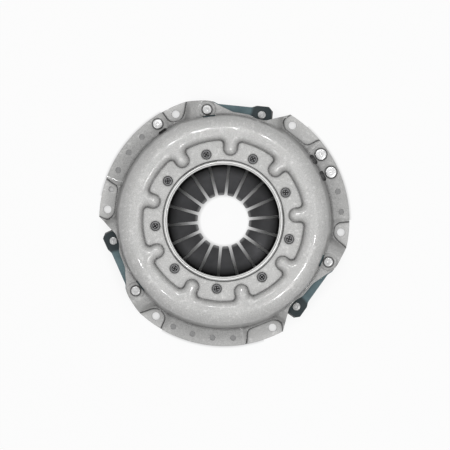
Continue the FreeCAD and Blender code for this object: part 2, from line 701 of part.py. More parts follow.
# Pivot rivets: staked head in the lobe, shoulder through the spring, collar under the ring
for number in range(9):
    label = "pivot_rivet_%d" % (number + 1)
    body = new_body(label)
    profile = new_sketch(body, label + "_profile", "XZ_Plane", None)
    polygon(profile, [
        ("0 * 1", "sizes.collar_top - sizes.pivot_rivet_collar_height"),
        ("sizes.pivot_rivet_collar", "sizes.collar_top - sizes.pivot_rivet_collar_height"),
        ("sizes.pivot_rivet_collar", "sizes.collar_top"),
        ("sizes.pivot_rivet_shoulder", "sizes.collar_top"),
        ("sizes.pivot_rivet_shoulder", "sizes.ring_under"),
        ("sizes.pivot_rivet_shank", "sizes.ring_under"),
        ("sizes.pivot_rivet_shank", "sizes.ring_top"),
        ("sizes.pivot_rivet_head", "sizes.ring_top"),
        ("sizes.pivot_rivet_head", "sizes.ring_top + sizes.pivot_rivet_head_height * 0.4"),
        ("sizes.pivot_rivet_head * 0.75", "sizes.ring_top + sizes.pivot_rivet_head_height"),
        ("0 * 1", "sizes.ring_top + sizes.pivot_rivet_head_height"),
    ])
    revolve(body, label + "_turned", profile)
    star = new_sketch(body, label + "_star", "XY_Plane",
                      "sizes.ring_top + sizes.pivot_rivet_head_height")
    groove_side = "sizes.star_groove_half_width"
    polygon(star, [("-1 * sizes.pivot_rivet_head", "-1 * " + groove_side),
                   ("sizes.pivot_rivet_head", "-1 * " + groove_side),
                   ("sizes.pivot_rivet_head", groove_side),
                   ("-1 * sizes.pivot_rivet_head", groove_side)])
    groove = cut_pocket(body, label + "_groove", star, "sizes.star_groove_depth", False)
    body.Tip = around(body, label + "_grooves", groove, 4)
    turn = "(sizes.hole_pitch_angle * %d)" % (3 + 4 * number)
    body.setExpression("Placement.Base.x", "cos(%s) * sizes.pivot_rivet_circle" % turn)
    body.setExpression("Placement.Base.y", "sin(%s) * sizes.pivot_rivet_circle" % turn)
    parts.append(body)

# Drive straps: three packs of three leaves, bent down from the shelf to the lug
for pack in range(3):
    for leaf in range(3):
        label = "strap_leaf_%d%s" % (pack + 1, "abc"[leaf])
        body = new_body(label)
        side = new_sketch(body, label + "_side", "XZ_Plane",
                          "sizes.leaf_end_half_width - sizes.strap_rivet_out")
        reach = "(sizes.strap_rivet_across + sizes.leaf_end_reach)"
        straight = "(sizes.strap_rivet_across - sizes.leaf_end_inner)"
        drop = " - %d * sizes.leaf_thickness" % leaf
        under = " - %d * sizes.leaf_thickness" % (leaf + 1)
        polygon(side, [
            ("-1 * " + reach, "sizes.pack_cover_top" + drop),
            ("-1 * " + straight, "sizes.pack_cover_top" + drop),
            (straight, "sizes.pack_lug_top" + drop),
            (reach, "sizes.pack_lug_top" + drop),
            (reach, "sizes.pack_lug_top" + under),
            (straight, "sizes.pack_lug_top" + under),
            ("-1 * " + straight, "sizes.pack_cover_top" + under),
            ("-1 * " + reach, "sizes.pack_cover_top" + under),
        ])
        raise_pad(body, label + "_bent", side, "2 * sizes.leaf_end_half_width", True)
        plan = new_sketch(body, label + "_plan", "XY_Plane", None)
        out = "sizes.strap_rivet_out"
        wide = "sizes.leaf_end_half_width"
        waist = "sizes.leaf_waist_half_width"
        cut = "sizes.leaf_corner"
        flat = straight + " + " + cut
        edge = reach + " - " + cut
        outline = [
            (reach, out + " - " + cut), (reach, out + " + " + cut), (edge, out + " + " + wide),
            (flat, out + " + " + wide), (straight, out + " + " + waist),
            ("-1 * " + straight, out + " + " + waist),
            ("-1 * (" + flat + ")", out + " + " + wide), ("-1 * (" + edge + ")", out + " + " + wide),
            ("-1 * " + reach, out + " + " + cut), ("-1 * " + reach, out + " - " + cut),
            ("-1 * (" + edge + ")", out + " - " + wide), ("-1 * (" + flat + ")", out + " - " + wide),
            ("-1 * " + straight, out + " - " + waist), (straight, out + " - " + waist),
            (flat, out + " - " + wide), (edge, out + " - " + wide),
        ]
        polygon(plan, outline)
        beyond = reach + " + sizes.past"
        polygon(plan, [(beyond, out + " - sizes.far_past"), (beyond, out + " + sizes.far_past"),
                       ("-1 * (" + beyond + ")", out + " + sizes.far_past"),
                       ("-1 * (" + beyond + ")", out + " - sizes.far_past")])
        cut_pocket(body, label + "_outline", plan, "sizes.crown_top", True)
        holes = new_sketch(body, label + "_holes", "XY_Plane", None)
        circle(holes, "-1 * sizes.strap_rivet_across", out, "sizes.strap_rivet_shank + sizes.rivet_fit")
        circle(holes, "sizes.strap_rivet_across", out, "sizes.lug_rivet_shank + sizes.rivet_fit")
        body.Tip = cut_pocket(body, label + "_drilled", holes, "sizes.crown_top", True)
        station_turn = FreeCAD.Rotation(FreeCAD.Vector(0, 0, 1), 120 * pack)
        body.Placement = FreeCAD.Placement(FreeCAD.Vector(0, 0, 0), station_turn)
        parts.append(body)
    rivet("cover_strap_rivet_%d" % (pack + 1), "sizes.strap_rivet_shank", "sizes.strap_rivet_head",
          "sizes.seat_top", "sizes.strap_head_height", "sizes.strap_rivet_tail",
          "(sizes.pack_cover_top - sizes.pack_thickness)", "sizes.strap_tail_height",
          "-1 * sizes.strap_rivet_across", "sizes.strap_rivet_out", "(%d)" % (120 * pack))
    rivet("lug_rivet_%d" % (pack + 1), "sizes.lug_rivet_shank", "sizes.lug_rivet_head",
          "sizes.pack_lug_top", "sizes.strap_head_height", "sizes.lug_rivet_tail",
          "sizes.lug_bottom", "sizes.strap_tail_height",
          "sizes.strap_rivet_across", "sizes.strap_rivet_out", "(%d)" % (120 * pack))

# Balance rivets in the raised flange
for number in range(3):
    head = "sizes.balance_large_head" if number else "sizes.balance_small_head"
    rivet("balance_rivet_%d" % (number + 1), "sizes.balance_shank", head, "sizes.raised_flange_top",
          "sizes.balance_head_height", "sizes.balance_tail", "sizes.raised_flange_under",
          "sizes.balance_tail_height", "sizes.bolt_circle_radius", "0",
          "(%d * sizes.hole_pitch_angle)" % balance_steps[number])

# Pressure plate: iron ring with a fulcrum ridge on top and three lugs
plate = new_body("pressure_plate")
section = new_sketch(plate, "plate_profile", "XZ_Plane", None)
polygon(section, [
    ("sizes.plate_bore", "sizes.plate_bottom + sizes.plate_edge"),
    ("sizes.plate_bore + sizes.plate_edge", "sizes.plate_bottom"),
    ("sizes.plate_radius - sizes.plate_edge", "sizes.plate_bottom"),
    ("sizes.plate_radius", "sizes.plate_bottom + sizes.plate_edge"),
    ("sizes.plate_radius", "sizes.plate_field_top - sizes.plate_edge"),
    ("sizes.plate_radius - sizes.plate_edge", "sizes.plate_field_top"),
    ("sizes.ridge_radius + sizes.ridge_round", "sizes.plate_field_top"),
    ("sizes.ridge_radius + sizes.ridge_round", "sizes.ridge_top"),
    ("sizes.ridge_radius - sizes.ridge_round", "sizes.ridge_top"),
    ("sizes.ridge_radius - 3 * sizes.ridge_round", "sizes.plate_field_top"),
    ("sizes.plate_bore + 2 * sizes.plate_edge", "sizes.plate_field_top"),
    ("sizes.plate_bore", "sizes.plate_field_top - 2 * sizes.plate_edge"),
])
plate_ring = revolve(plate, "plate_ring", section)
round_edges(plate, "ridge_fillet", plate_ring, "sizes.ridge_round - sizes.contact_gap",
            lambda e: at_height(e, value("ridge_top")))
lug_plan = new_sketch(plate, "lug_plan", "XY_Plane", "sizes.lug_bottom")
polygon(lug_plan, [
    ("sizes.lug_from", "sizes.plate_radius - sizes.lug_root_depth"),
    ("sizes.lug_to", "sizes.plate_radius - sizes.lug_root_depth"),
    ("sizes.lug_to", "sizes.lug_reach - sizes.lug_corner"),
    ("sizes.lug_to - sizes.lug_corner", "sizes.lug_reach"),
    ("sizes.lug_from + sizes.lug_corner", "sizes.lug_reach"),
    ("sizes.lug_from", "sizes.lug_reach - sizes.lug_corner"),
])
lug = raise_pad(plate, "lug", lug_plan, "sizes.lug_top - sizes.lug_bottom", False)
around(plate, "lugs", lug, 3)
lug_hole = new_sketch(plate, "lug_hole_plan", "XY_Plane", None)
circle(lug_hole, "sizes.strap_rivet_across", "sizes.strap_rivet_out",
       "sizes.lug_rivet_shank + sizes.rivet_fit")
drilled = cut_pocket(plate, "lug_hole", lug_hole, "sizes.crown_top", True)
plate.Tip = around(plate, "lug_holes", drilled, 3)
parts.append(plate)

doc.recompute()
for item in doc.Objects:
    if "Invalid" in item.State or "Error" in item.State:
        raise RuntimeError("not built: " + item.Name)
os.makedirs("parts", exist_ok=True)
for item in parts:
    shape = item.Shape
    if shape.isNull() or not shape.isValid():
        raise RuntimeError("bad shape: " + item.Label)
    print(item.Label, round(shape.Volume / 1000, 2), "cm3,", len(shape.Solids), "solid")
    shape.exportStep("parts/" + item.Label + ".step")
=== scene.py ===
import json
import math

import bpy
import numpy as np
from mathutils import Matrix, Vector
from mathutils.geometry import delaunay_2d_cdt


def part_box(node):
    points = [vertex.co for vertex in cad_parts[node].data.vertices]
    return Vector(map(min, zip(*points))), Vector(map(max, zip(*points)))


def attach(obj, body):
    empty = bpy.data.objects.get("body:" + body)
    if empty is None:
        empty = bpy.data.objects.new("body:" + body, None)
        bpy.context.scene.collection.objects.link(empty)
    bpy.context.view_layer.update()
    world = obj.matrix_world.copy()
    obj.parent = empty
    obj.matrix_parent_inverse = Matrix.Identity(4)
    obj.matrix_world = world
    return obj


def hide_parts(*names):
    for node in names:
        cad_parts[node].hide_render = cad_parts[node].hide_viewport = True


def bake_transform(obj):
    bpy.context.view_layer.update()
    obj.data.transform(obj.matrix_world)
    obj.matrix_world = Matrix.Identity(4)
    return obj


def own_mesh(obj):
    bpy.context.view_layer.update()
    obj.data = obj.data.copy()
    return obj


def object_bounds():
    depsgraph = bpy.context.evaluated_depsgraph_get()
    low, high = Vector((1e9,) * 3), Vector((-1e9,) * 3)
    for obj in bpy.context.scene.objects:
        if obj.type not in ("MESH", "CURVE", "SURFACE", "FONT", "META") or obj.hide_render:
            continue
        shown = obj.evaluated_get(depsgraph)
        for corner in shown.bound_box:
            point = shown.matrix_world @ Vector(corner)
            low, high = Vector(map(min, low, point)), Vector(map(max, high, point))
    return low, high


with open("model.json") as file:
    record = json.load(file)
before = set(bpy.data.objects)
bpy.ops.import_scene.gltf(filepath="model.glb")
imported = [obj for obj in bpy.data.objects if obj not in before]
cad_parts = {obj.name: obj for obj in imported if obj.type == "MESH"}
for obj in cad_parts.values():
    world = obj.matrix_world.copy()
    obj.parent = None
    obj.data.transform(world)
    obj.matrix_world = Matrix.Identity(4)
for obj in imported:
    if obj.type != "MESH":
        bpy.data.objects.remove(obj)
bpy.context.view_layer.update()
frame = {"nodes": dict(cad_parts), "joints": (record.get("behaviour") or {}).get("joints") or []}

# All lengths below are in millimetres; MM turns them into metres. Angles are in degrees.
MM = 0.001
TAU = math.tau
FAR = 1e9
TINY = 1e-12

# Cover sheet; the forms that come three times are given once and repeat at each third of a turn
THIRD = 120
SHEET = 4.0
FLANGE_RADIUS = 143.0
FLANGE_TOP = SHEET + 0.3
BOLT_RADIUS = 134.0
BOLT_HOLE = 4.5
SPARE_HOLE = 3.0
SPARE_ANGLES = (10, 20, 140, 150, 160, 170, 250, 260, 270, 280)
CROWN_TOP = 44.0
WALL_FOOT = 123.9
WALL_TOP = 117.1
SHOULDER = 15.0
FOOT_ROUND = 1.2

# Recessed ring with its lobes and ribs, and the upturned lip
RING_TOP = 36.0
RIBS = 9
RIB_ANGLE = 10
RIB_HALF = 7.6
RIB_TIP = 75.0
LOBE_RADIUS = 92.0
LOBE_DRAFT = math.tan(math.radians(12))
LOBE_CORNER = 6.0
FLOOR_ROUND = 0.35
CREST_ROUND = 6.4
OPENING = 63.4
LIP_EDGE = OPENING + 0.2
LIP_RADIUS = 67.7
LIP_TOP = 39.4
LIP_ROUND = 1.7
LIP_EDGE_ROUND = 1.1
LIP_FILLET = 0.5

# Raised arcs of the flange
RAISED_TOP = 7.2
RAISED_MIDDLE = 146.0
RAISED_HALF_ANGLE = 19.8
RAISED_RUN = 1.0
RAISED_ROUND = 3.0
RAISED_FILLET = 1.6

# Strap shelves and the coined seats of their rivets
SHELF_ANGLE = 90
SHELF_TOP = 23.2
SHELF_HALF = 47.45
SHELF_DRAFT = math.tan(math.radians(25))
SHELF_ROUND = 9.0
SHELF_FILLET = 2.4
RIVET_ACROSS = 31.2
RIVET_OUT = 124.1
SEAT_DROP = 1.0
SEAT_RADIUS = 9.4
SEAT_ROUND = 2.0
SEAT_FLOOR_ROUND = 0.9

# Coined bolt pads: lines of each outline as the angle of the inward normal and the offset
PAD_RELIEF = 1.0
PAD_TOP = SHEET - PAD_RELIEF
PAD_CORNER = 3.5
PAD_ROUND = 0.3
PAD_FLOOR_ROUND = 0.2
SHORT_PAD_ANGLE = 120
SHORT_PAD = [(95.8, 112.8), (136.2, 119.7), (174.7, 67.4), (41.9, 16.1)]
LONG_PAD_ANGLE = 55
LONG_PAD = [(58.1, 125.1), (14.5, 83.6), (-51.7, -61.0), (120.7, 36.9)]

# Open window beside a strap shelf, from one flange arc to the next, and the rounds at its corners
WINDOW_PATH = [(63.6, 128.1), (37.2, 118.2), (26.6, 118.8), (17, 123.0), (-1.5, 124.2),
               (-20.8, 131.4), (-27, 134.2), (-35.5, 134.2), (-56.4, 131.4)]
WINDOW_ROUNDS = [0, 10, 10, 12, 14, 12, 9, 12, 0]

# Slots at the foot of the dome: angle, radius, half of the width and half of the height
FOOT_SLOTS = [(130, WALL_FOOT, 5.0, 1.4), (30, WALL_FOOT, 6.0, 2.1), (40, WALL_FOOT, 6.0, 2.1)]
FOOT_SLOTS += [(103.5 + THIRD * k, WALL_FOOT - 3.9, 7.2, 0.9) for k in range(3)]

# Circles of mesh points on the cover: first and last radius, step outwards, spacing round the circle
COVER_CIRCLES = [(OPENING + 0.6, 68.6, 0.55, 1.15), (69.2, 98.5, 0.9, 1.15), (99.2, 112, 1.0, 1.15),
                 (112.6, 117.2, 0.55, 1.15), (117.4, 124.6, 0.3, 1.0), (124.9, 128, 0.55, 1.15),
                 (128.6, FLANGE_RADIUS, 0.9, 1.15)]

# Finer mesh points along sharp edges: first radius, step, reach, the gap left for them, the height
# at which the lobes are measured, and the share of the reach at pads and seats
FINE_START = 72
FINE_STEP = 0.46
FINE_REACH = 1.6
FINE_GAP = 1.9
LOBE_PROBE = RING_TOP + 1.0
PAD_SHARE = 0.8
SEAT_SHARE = 0.7

# Diaphragm spring
PIVOT_RADIUS = 84.15
SPRING_SLOPE = 0.25
SPRING_THICK = 2.7
WIRE_RADIUS = 2.25
WIRE_OFFSET = (SPRING_THICK / 2 + WIRE_RADIUS) * math.sqrt(1 + SPRING_SLOPE ** 2)
UPPER_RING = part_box("upper_pivot_ring")
PIVOT_HEIGHT = (UPPER_RING[0].z + UPPER_RING[1].z) / (2 * MM) - WIRE_OFFSET
FINGER_STEP = 20
FINGER_BEND = 40.0
FINGER_TIP = 29.0
TIP_SLOPE = 0.08
TIP_ROUND = 1.6
TIP_SAG = 0.6
TIP_RUN = 8.0
MOUTH_LENGTH = 9.0
SPRING_OUTER = 113.0
FINGER_SLOT = 3.4
RIVET_CIRCLE = 77.4
KEYHOLE = 6.2

# Straps
LEAF = 1.0
LEAF_GAP = 0.02
LEAF_HALF = 10.0
LEAF_WAIST = 7.75
LEAF_BEND = 19.6
LEAF_FLARE = 5.0
LEAF_REACH = 41.9
LEAF_ROUNDS = [0, 7, 7, 6.5, 6.5, 7, 7, 0]
LUG_END = (80.5, 82)
PLATE_LIFT = frame["joints"][0]["range_m"][1] / MM
PACK_TOP = SHELF_TOP - SHEET - SEAT_DROP

# Set rivets: radius of shank, head and tail, then rounds, and the dimple by share of radius and depth
STRAP_RIVET = {"shank": 3.9, "head": 5.2, "tail": 5.8}
LUG_RIVET = {"shank": 3.7, "head": 4.6, "tail": 5.6}
BALANCE_RIVET = {"shank": 3.0, "tail": 4.6}
BALANCE_HEADS = (5.5, 6.3, 6.3)
LUG_BOTTOM = 5.8
TAIL_ROUND = 0.7
TAIL_EDGE = 0.3
HEAD_ROUND = 0.9
HEAD_ROUND_END = 68
HEAD_EDGE = 0.25
HEAD_SIDE = 0.55
HEAD_DOME = 0.28
HEAD_DOME_SHARES = (0.6, 0.42, 0.3)
HEAD_DIMPLE = [(0.22, 0.06), (0.12, 0.3), (0, 0.34)]

# Pivot rivets: collar, shank, neck, and the head with its struck top
PIVOT_COLLAR = 8.9
COLLAR_THICK = 2.8
COLLAR_BEVEL = 0.4
PIVOT_SHANK = 4.4
PIVOT_NECK = 3.6
PIVOT_HEAD = 4.8
PIVOT_BEVEL = 0.2
PIVOT_HEAD_TOP = RING_TOP + 2.2
PIVOT_DOME = 0.75
GROOVE_RADIUS = 3.0
GROOVE_WIDTH = 0.42
GROOVE_DEPTH = 0.55
DIMPLE_WIDTH = 0.75
DIMPLE_DEPTH = 0.6
CUT_WIDTH = 0.4
CUT_REACH = 1.6
CUT_DEPTH = 1.0

# Rings at the lip, each from one radius to the other: painted shade in the groove beside it and in the
# hollow of its hem, lighter on its bead and its rim
LIP_GROOVE = (69.0, 69.6)
LIP_BEAD = (68.6, 68.1)
LIP_HOLLOW = (65.4, 65.7)
LIP_RIM = (65.1, 64.8)

# Backdrop share of the floor by radius, under the flange arcs, at the strap windows and under the bolts;
# round the part and in its open middle it is plain backdrop, and the smaller shares where the part
# covers the floor are painted light on the shaded floor seen through its slots and holes
SHARE_BELOW = [(0, 0.95), (26.5, 0.95), (30, 0.5), (34, 0.26), (40, 0.12), (50, 0.035),
               (60, 0.0), (126, 0.01), (129, 0.2), (142, 0.26), (146, 0.93), (200, 0.93)]
SHARE_BESIDE = SHARE_BELOW[:7] + [(122.5, 0.01), (125.5, 0.85), (146, 0.93), (200, 0.93)]
ARC_HALF_ANGLE = 24
BOLT_SHARE = 0.6
BOLT_SHARE_RADIUS = 6
BOLT_SHARE_ANGLE = 2.6

# Floor: half of its side, and how painted shade darkens its grey in corners and under the part
FLOOR_HALF = 6000
FLOOR_ROUGHNESS = 0.9
SHADE_SAMPLES = 8
FLOOR_SHADE_REACH = 50
FLOOR_SHADE = [(0.1, 0.04), (0.5, 0.5)]

# Wide lamp over the part, and the least strength of the world, which rises to 1 overhead
OVERHEAD_HEIGHT = 1500
OVERHEAD_SIZE = 2200
OVERHEAD_POWER = 2.0
WORLD_LOW = 0.05

# Small lamps that put highlights on the crest: photograph angle, height in degrees, length, power
GLINT_DISTANCE = 1200
GLINT_WIDTH = 70
GLINTS = [(107, 60, 110, 1.3), (126, 60, 50, 0.5), (87, 60, 50, 0.5), (65, 57, 80, 0.9),
          (206, 60, 50, 0.5), (229, 60, 60, 0.6), (-35, 61, 130, 1.5), (-12, 60, 50, 0.6),
          (-55, 58, 90, 1.1)]

# Photograph: angle of its right side in the model, pixels across, centre of the flange, and scale
PHOTO_TURN = 5.6
PHOTO_SIZE = 450
CENTRE_PIXEL = (224.1, 220.8)
PIXEL = 1.1424
CAMERA_DISTANCE = 4000
CAMERA_LEAN = 1.5
CAMERA_REACH = 50000
SENSOR = 36


def round_meet(a, b, radius):
    """Intersection of two solids given by signed distance, with a rounded outer corner."""
    corner = np.hypot(np.maximum(radius + a, 0), np.maximum(radius + b, 0))
    return np.minimum(-radius, np.maximum(a, b)) + corner


def round_join(a, b, radius):
    """Union of two solids given by signed distance, with a filleted inner corner."""
    corner = np.hypot(np.maximum(radius - a, 0), np.maximum(radius - b, 0))
    return np.maximum(radius, np.minimum(a, b)) - corner


def slanted(gap, run):
    """Signed distance to a face that leans: gap is level, run is the lean per unit of height."""
    return gap / math.sqrt(1 + run * run)


def folded(angle, middle, step):
    """Angle from the nearest of several equal stations."""
    return (angle - middle + step / 2) % step - step / 2


def polar(x, y):
    return np.hypot(x, y), np.degrees(np.arctan2(y, x))


def lobe_recess(radius, angle, z):
    turn = np.radians(folded(angle, RIB_ANGLE, 360 / RIBS))
    along = radius * np.cos(turn)
    across = radius * np.sin(turn)
    from_line = np.hypot(np.minimum(along - RIB_TIP - RIB_HALF, 0), across)
    rise = (z - RING_TOP) * LOBE_DRAFT
    cone = slanted(radius - LOBE_RADIUS - rise, LOBE_DRAFT)
    rib = slanted(from_line - RIB_HALF + rise, LOBE_DRAFT)
    plan = round_meet(cone, -rib, LOBE_CORNER)
    return round_meet(plan, RING_TOP - z, FLOOR_ROUND)


def dome_form(radius, angle, z):
    """Domed rim with the recessed ring and the upturned lip."""
    lean = (WALL_FOOT - WALL_TOP) / (CROWN_TOP - SHEET)
    wall = slanted(radius - WALL_FOOT + lean * (z - SHEET), lean)
    dome = round_meet(z - CROWN_TOP, wall, SHOULDER)
    dome = round_meet(dome, -lobe_recess(radius, angle, z), CREST_ROUND)
    lip = round_meet(radius - LIP_RADIUS, z - LIP_TOP, LIP_ROUND)
    lip = round_meet(lip, LIP_EDGE - radius, LIP_EDGE_ROUND)
    return round_join(dome, lip, LIP_FILLET)


def seat_distance(radius, angle):
    """Level distance to the edge of the nearest seat of a strap rivet."""
    turn = np.radians(folded(angle, SHELF_ANGLE, THIRD))
    across = radius * np.sin(turn) - RIVET_ACROSS
    out = radius * np.cos(turn) - RIVET_OUT
    return np.hypot(across, out) - SEAT_RADIUS


def flange_form(radius, angle, z):
    """Flange with its raised arcs, strap shelves and rivet seats."""
    arc = np.radians(np.abs(folded(angle, RAISED_MIDDLE, THIRD)) - RAISED_HALF_ANGLE)
    ramp = slanted(radius * np.sin(arc) - (RAISED_TOP - z) * RAISED_RUN, RAISED_RUN)
    raised = round_meet(z - RAISED_TOP, ramp, RAISED_ROUND)
    flange = round_join(z - FLANGE_TOP, raised, RAISED_FILLET)
    across = radius * np.sin(np.radians(folded(angle, SHELF_ANGLE, THIRD)))
    side = slanted(np.abs(across) - SHELF_HALF - (SHELF_TOP - z) * SHELF_DRAFT, SHELF_DRAFT)
    shelf = round_meet(z - SHELF_TOP, side, SHELF_ROUND)
    flange = round_join(flange, shelf, SHELF_FILLET)
    coined = round_meet(seat_distance(radius, angle), SHELF_TOP - SEAT_DROP - z, SEAT_FLOOR_ROUND)
    return round_meet(flange, -coined, SEAT_ROUND)


def inside_lines(x, y, lines, corner):
    """Distance to a convex flat outline: each line is the angle of its inward normal and its offset."""
    distance = -FAR
    for angle, offset in lines:
        a = math.radians(angle)
        side = offset - x * math.cos(a) - y * math.sin(a)
        distance = round_meet(distance, side, corner)
    return distance


def bolt_pads(radius, angle, z):
    """Coined flats round the bolts: a short one before each strap shelf and a long one after it."""
    distance = FAR
    for middle, lines in ((SHORT_PAD_ANGLE, SHORT_PAD), (LONG_PAD_ANGLE, LONG_PAD)):
        turn = np.radians(folded(angle, middle, THIRD) + middle)
        pad = inside_lines(radius * np.cos(turn), radius * np.sin(turn), lines, PAD_CORNER)
        distance = np.minimum(distance, pad)
    return round_meet(distance, PAD_TOP - z, PAD_FLOOR_ROUND)


def cover_distance(x, y, z):
    """Signed distance to the outer skin of the pressed cover; the sheet lies under it."""
    radius, angle = polar(x, y)
    form = round_join(dome_form(radius, angle, z), flange_form(radius, angle, z), FOOT_ROUND)
    return round_meet(form, -bolt_pads(radius, angle, z), PAD_ROUND)


def surface_height(x, y, depth, lowest=-12.0, highest=50.0, halvings=26):
    """Height where the distance to the outer skin is -depth, found by halving."""
    low = np.full_like(x, lowest)
    high = np.full_like(x, highest)
    for _ in range(halvings):
        middle = (low + high) / 2
        inside = cover_distance(x, y, middle) < -depth
        low = np.where(inside, middle, low)
        high = np.where(inside, high, middle)
    return (low + high) / 2


def surface_normal(x, y, z, step=0.02):
    normal = np.stack([
        cover_distance(x + step, y, z) - cover_distance(x - step, y, z),
        cover_distance(x, y + step, z) - cover_distance(x, y - step, z),
        cover_distance(x, y, z + step) - cover_distance(x, y, z - step),
    ], axis=1)
    return normal / np.linalg.norm(normal, axis=1, keepdims=True)


def cover_skin(depth):
    """Heights and normals of the cover's skin at a depth under its outer form, never below the floor."""
    def skin(plan):
        x, y = plan[:, 0], plan[:, 1]
        z = np.maximum(surface_height(x, y, depth), 0)
        return z, surface_normal(x, y, z)
    return skin


def turned(points, degrees):
    a = math.radians(degrees)
    spin = np.array([[math.cos(a), math.sin(a)], [-math.sin(a), math.cos(a)]])
    return np.asarray(points) @ spin


def on_circle(angles, radius):
    """Points on a circle about the origin, for angles in radians."""
    return np.stack([np.cos(angles), np.sin(angles)], axis=1) * radius


def full_turn(count):
    return np.linspace(0, TAU, count, endpoint=False)


def rounded_path(points, radii, step=0.8):
    """Open path with its inner corners rounded, sampled about every step."""
    path = [np.array(points[0], float)]
    for i in range(1, len(points) - 1):
        before, corner, after = (np.array(points[j], float) for j in (i - 1, i, i + 1))
        into = (corner - before) / np.linalg.norm(corner - before)
        out = (after - corner) / np.linalg.norm(after - corner)
        bend = math.acos(np.clip(into @ out, -1, 1))
        cut = radii[i] * math.tan(bend / 2)
        start, end = corner - into * cut, corner + out * cut
        count = max(3, int(bend * radii[i] / step))
        for t in np.linspace(0, 1, count):
            path.append((1 - t) ** 2 * start + 2 * t * (1 - t) * corner + t ** 2 * end)
    path.append(np.array(points[-1], float))
    dense = [path[0]]
    for a, b in zip(path, path[1:]):
        count = max(1, int(np.linalg.norm(b - a) / step))
        for t in range(1, count + 1):
            dense.append(a + (b - a) * t / count)
    return np.array(dense)


def cover_outline(arc_points=190):
    """Closed outline of the cover: three windows joined by arcs of the flange."""
    window = rounded_path(WINDOW_PATH, WINDOW_ROUNDS)
    start = math.degrees(math.atan2(window[-1][1], window[-1][0]))
    end = math.degrees(math.atan2(window[0][1], window[0][0])) + THIRD
    rim = on_circle(np.radians(np.linspace(start, end, arc_points)[1:-1]), FLANGE_RADIUS)
    part = np.concatenate([window, rim])
    return np.concatenate([turned(part, THIRD * k) for k in range(3)])


def circle_loop(angle, radius, size, count):
    """Round hole; its points run the other way round than an outline's."""
    centre = turned([(radius, 0)], angle)[0]
    return centre - on_circle(-full_turn(count), size)


def slot_loop(angle, radius, half_width, half_height):
    """Slot with round ends, square to the radius; it runs the other way round, as a hole."""
    end = half_width - half_height
    a = np.radians(np.linspace(-90, 90, 9))
    right = np.stack([np.sin(a) * half_height, end + np.cos(a) * half_height], axis=1)
    left = -right
    side = np.linspace(0, 1, 12)[1:-1, None]
    top = right[-1] + (left[0] - right[-1]) * side
    bottom = left[-1] + (right[0] - left[-1]) * side
    loop = np.concatenate([right, top, left, bottom])
    return turned(loop + np.array([radius, 0]), angle)


def hole_loops():
    loops = [circle_loop(60 * k, BOLT_RADIUS, BOLT_HOLE, count=40) for k in range(6)]
    loops += [circle_loop(angle, BOLT_RADIUS, SPARE_HOLE, count=28) for angle in SPARE_ANGLES]
    loops += [slot_loop(*slot) for slot in FOOT_SLOTS]
    loops.append(on_circle(-full_turn(count=480), OPENING))
    return loops


def loop_normals(loop):
    """Unit normals that point into the sheet, for an outline that runs with the sheet on its left."""
    along = np.roll(loop, -1, axis=0) - np.roll(loop, 1, axis=0)
    normal = np.stack([-along[:, 1], along[:, 0]], axis=1)
    return normal / np.linalg.norm(normal, axis=1, keepdims=True)


def signed_area(loop):
    following = np.roll(loop, -1, axis=0)
    return 0.5 * np.sum(loop[:, 0] * following[:, 1] - following[:, 0] * loop[:, 1])


def distance_to_loop(points, loop):
    following = np.roll(loop, -1, axis=0)
    best = np.full(len(points), FAR)
    for a, b in zip(loop, following):
        side = b - a
        t = np.clip(((points - a) @ side) / max(side @ side, TINY), 0, 1)
        gap = points - (a + t[:, None] * side)
        best = np.minimum(best, np.einsum("ij,ij->i", gap, gap))
    return np.sqrt(best)


def inside_loop(points, loop):
    following = np.roll(loop, -1, axis=0)
    x, y = points[:, 0], points[:, 1]
    inside = np.zeros(len(points), bool)
    for a, b in zip(loop, following):
        crosses = (a[1] > y) != (b[1] > y)
        if abs(b[1] - a[1]) > TINY:
            inside ^= crosses & (x < (b[0] - a[0]) * (y - a[1]) / (b[1] - a[1]) + a[0])
    return inside


def inside_sheet(points, loops):
    """Which points lie inside the first loop and outside all the others."""
    inside = inside_loop(points, loops[0])
    for hole in loops[1:]:
        centre = hole.mean(axis=0)
        reach = np.max(np.linalg.norm(hole - centre, axis=1))
        close = np.flatnonzero(np.linalg.norm(points - centre, axis=1) < reach)
        inside[close[inside_loop(points[close], hole)]] = False
    return inside


def away_from_loop(points, loop, clear):
    """The points that lie farther than clear from a loop's line."""
    centre = loop.mean(axis=0)
    reach = np.linalg.norm(loop - centre, axis=1)
    away = np.linalg.norm(points - centre, axis=1)
    close = (away < reach.max() + clear) & (away > reach.min() - clear)
    gap = np.full(len(points), FAR)
    gap[close] = distance_to_loop(points[close], loop)
    return points[gap > clear]


def circle_points(radius, spacing, row):
    """Even points on one circle; every other row is shifted by half a step."""
    count = int(TAU * radius / spacing)
    return on_circle((np.arange(count) + 0.5 * (row % 2)) * TAU / count, radius)


def ring_points(low, high, step):
    return np.concatenate([circle_points(radius, step, row)
                           for row, radius in enumerate(np.arange(low, high, step))])


def grid_points(coarse):
    """Points on circles, closer together where the skin is steep or tightly curved."""
    circles = []
    for low, high, step, spacing in COVER_CIRCLES:
        for radius in np.arange(low, high, step * coarse):
            circles.append(circle_points(radius, spacing * coarse, len(circles)))
    return np.concatenate(circles)


def near_edges(points, reach):
    """Which points lie close to the foot of a lobe, the edge of a pad or the edge of a rivet seat."""
    radius, angle = polar(points[:, 0], points[:, 1])
    lobe_probe = np.full(len(points), LOBE_PROBE)
    pad_probe = np.full(len(points), SHEET)
    lobes = np.abs(lobe_recess(radius, angle, lobe_probe)) < reach
    pads = np.abs(bolt_pads(radius, angle, pad_probe)) < PAD_SHARE * reach
    seats = np.abs(seat_distance(radius, angle)) < SEAT_SHARE * reach
    return (lobes & (radius > FINE_START)) | (pads & (radius > WALL_FOOT)) | seats


def cover_points(coarse):
    plain = grid_points(coarse)
    if coarse > 1:
        return plain
    fine = ring_points(FINE_START, FLANGE_RADIUS, FINE_STEP)
    return np.concatenate([plain[~near_edges(plain, FINE_GAP)], fine[near_edges(fine, FINE_REACH)]])


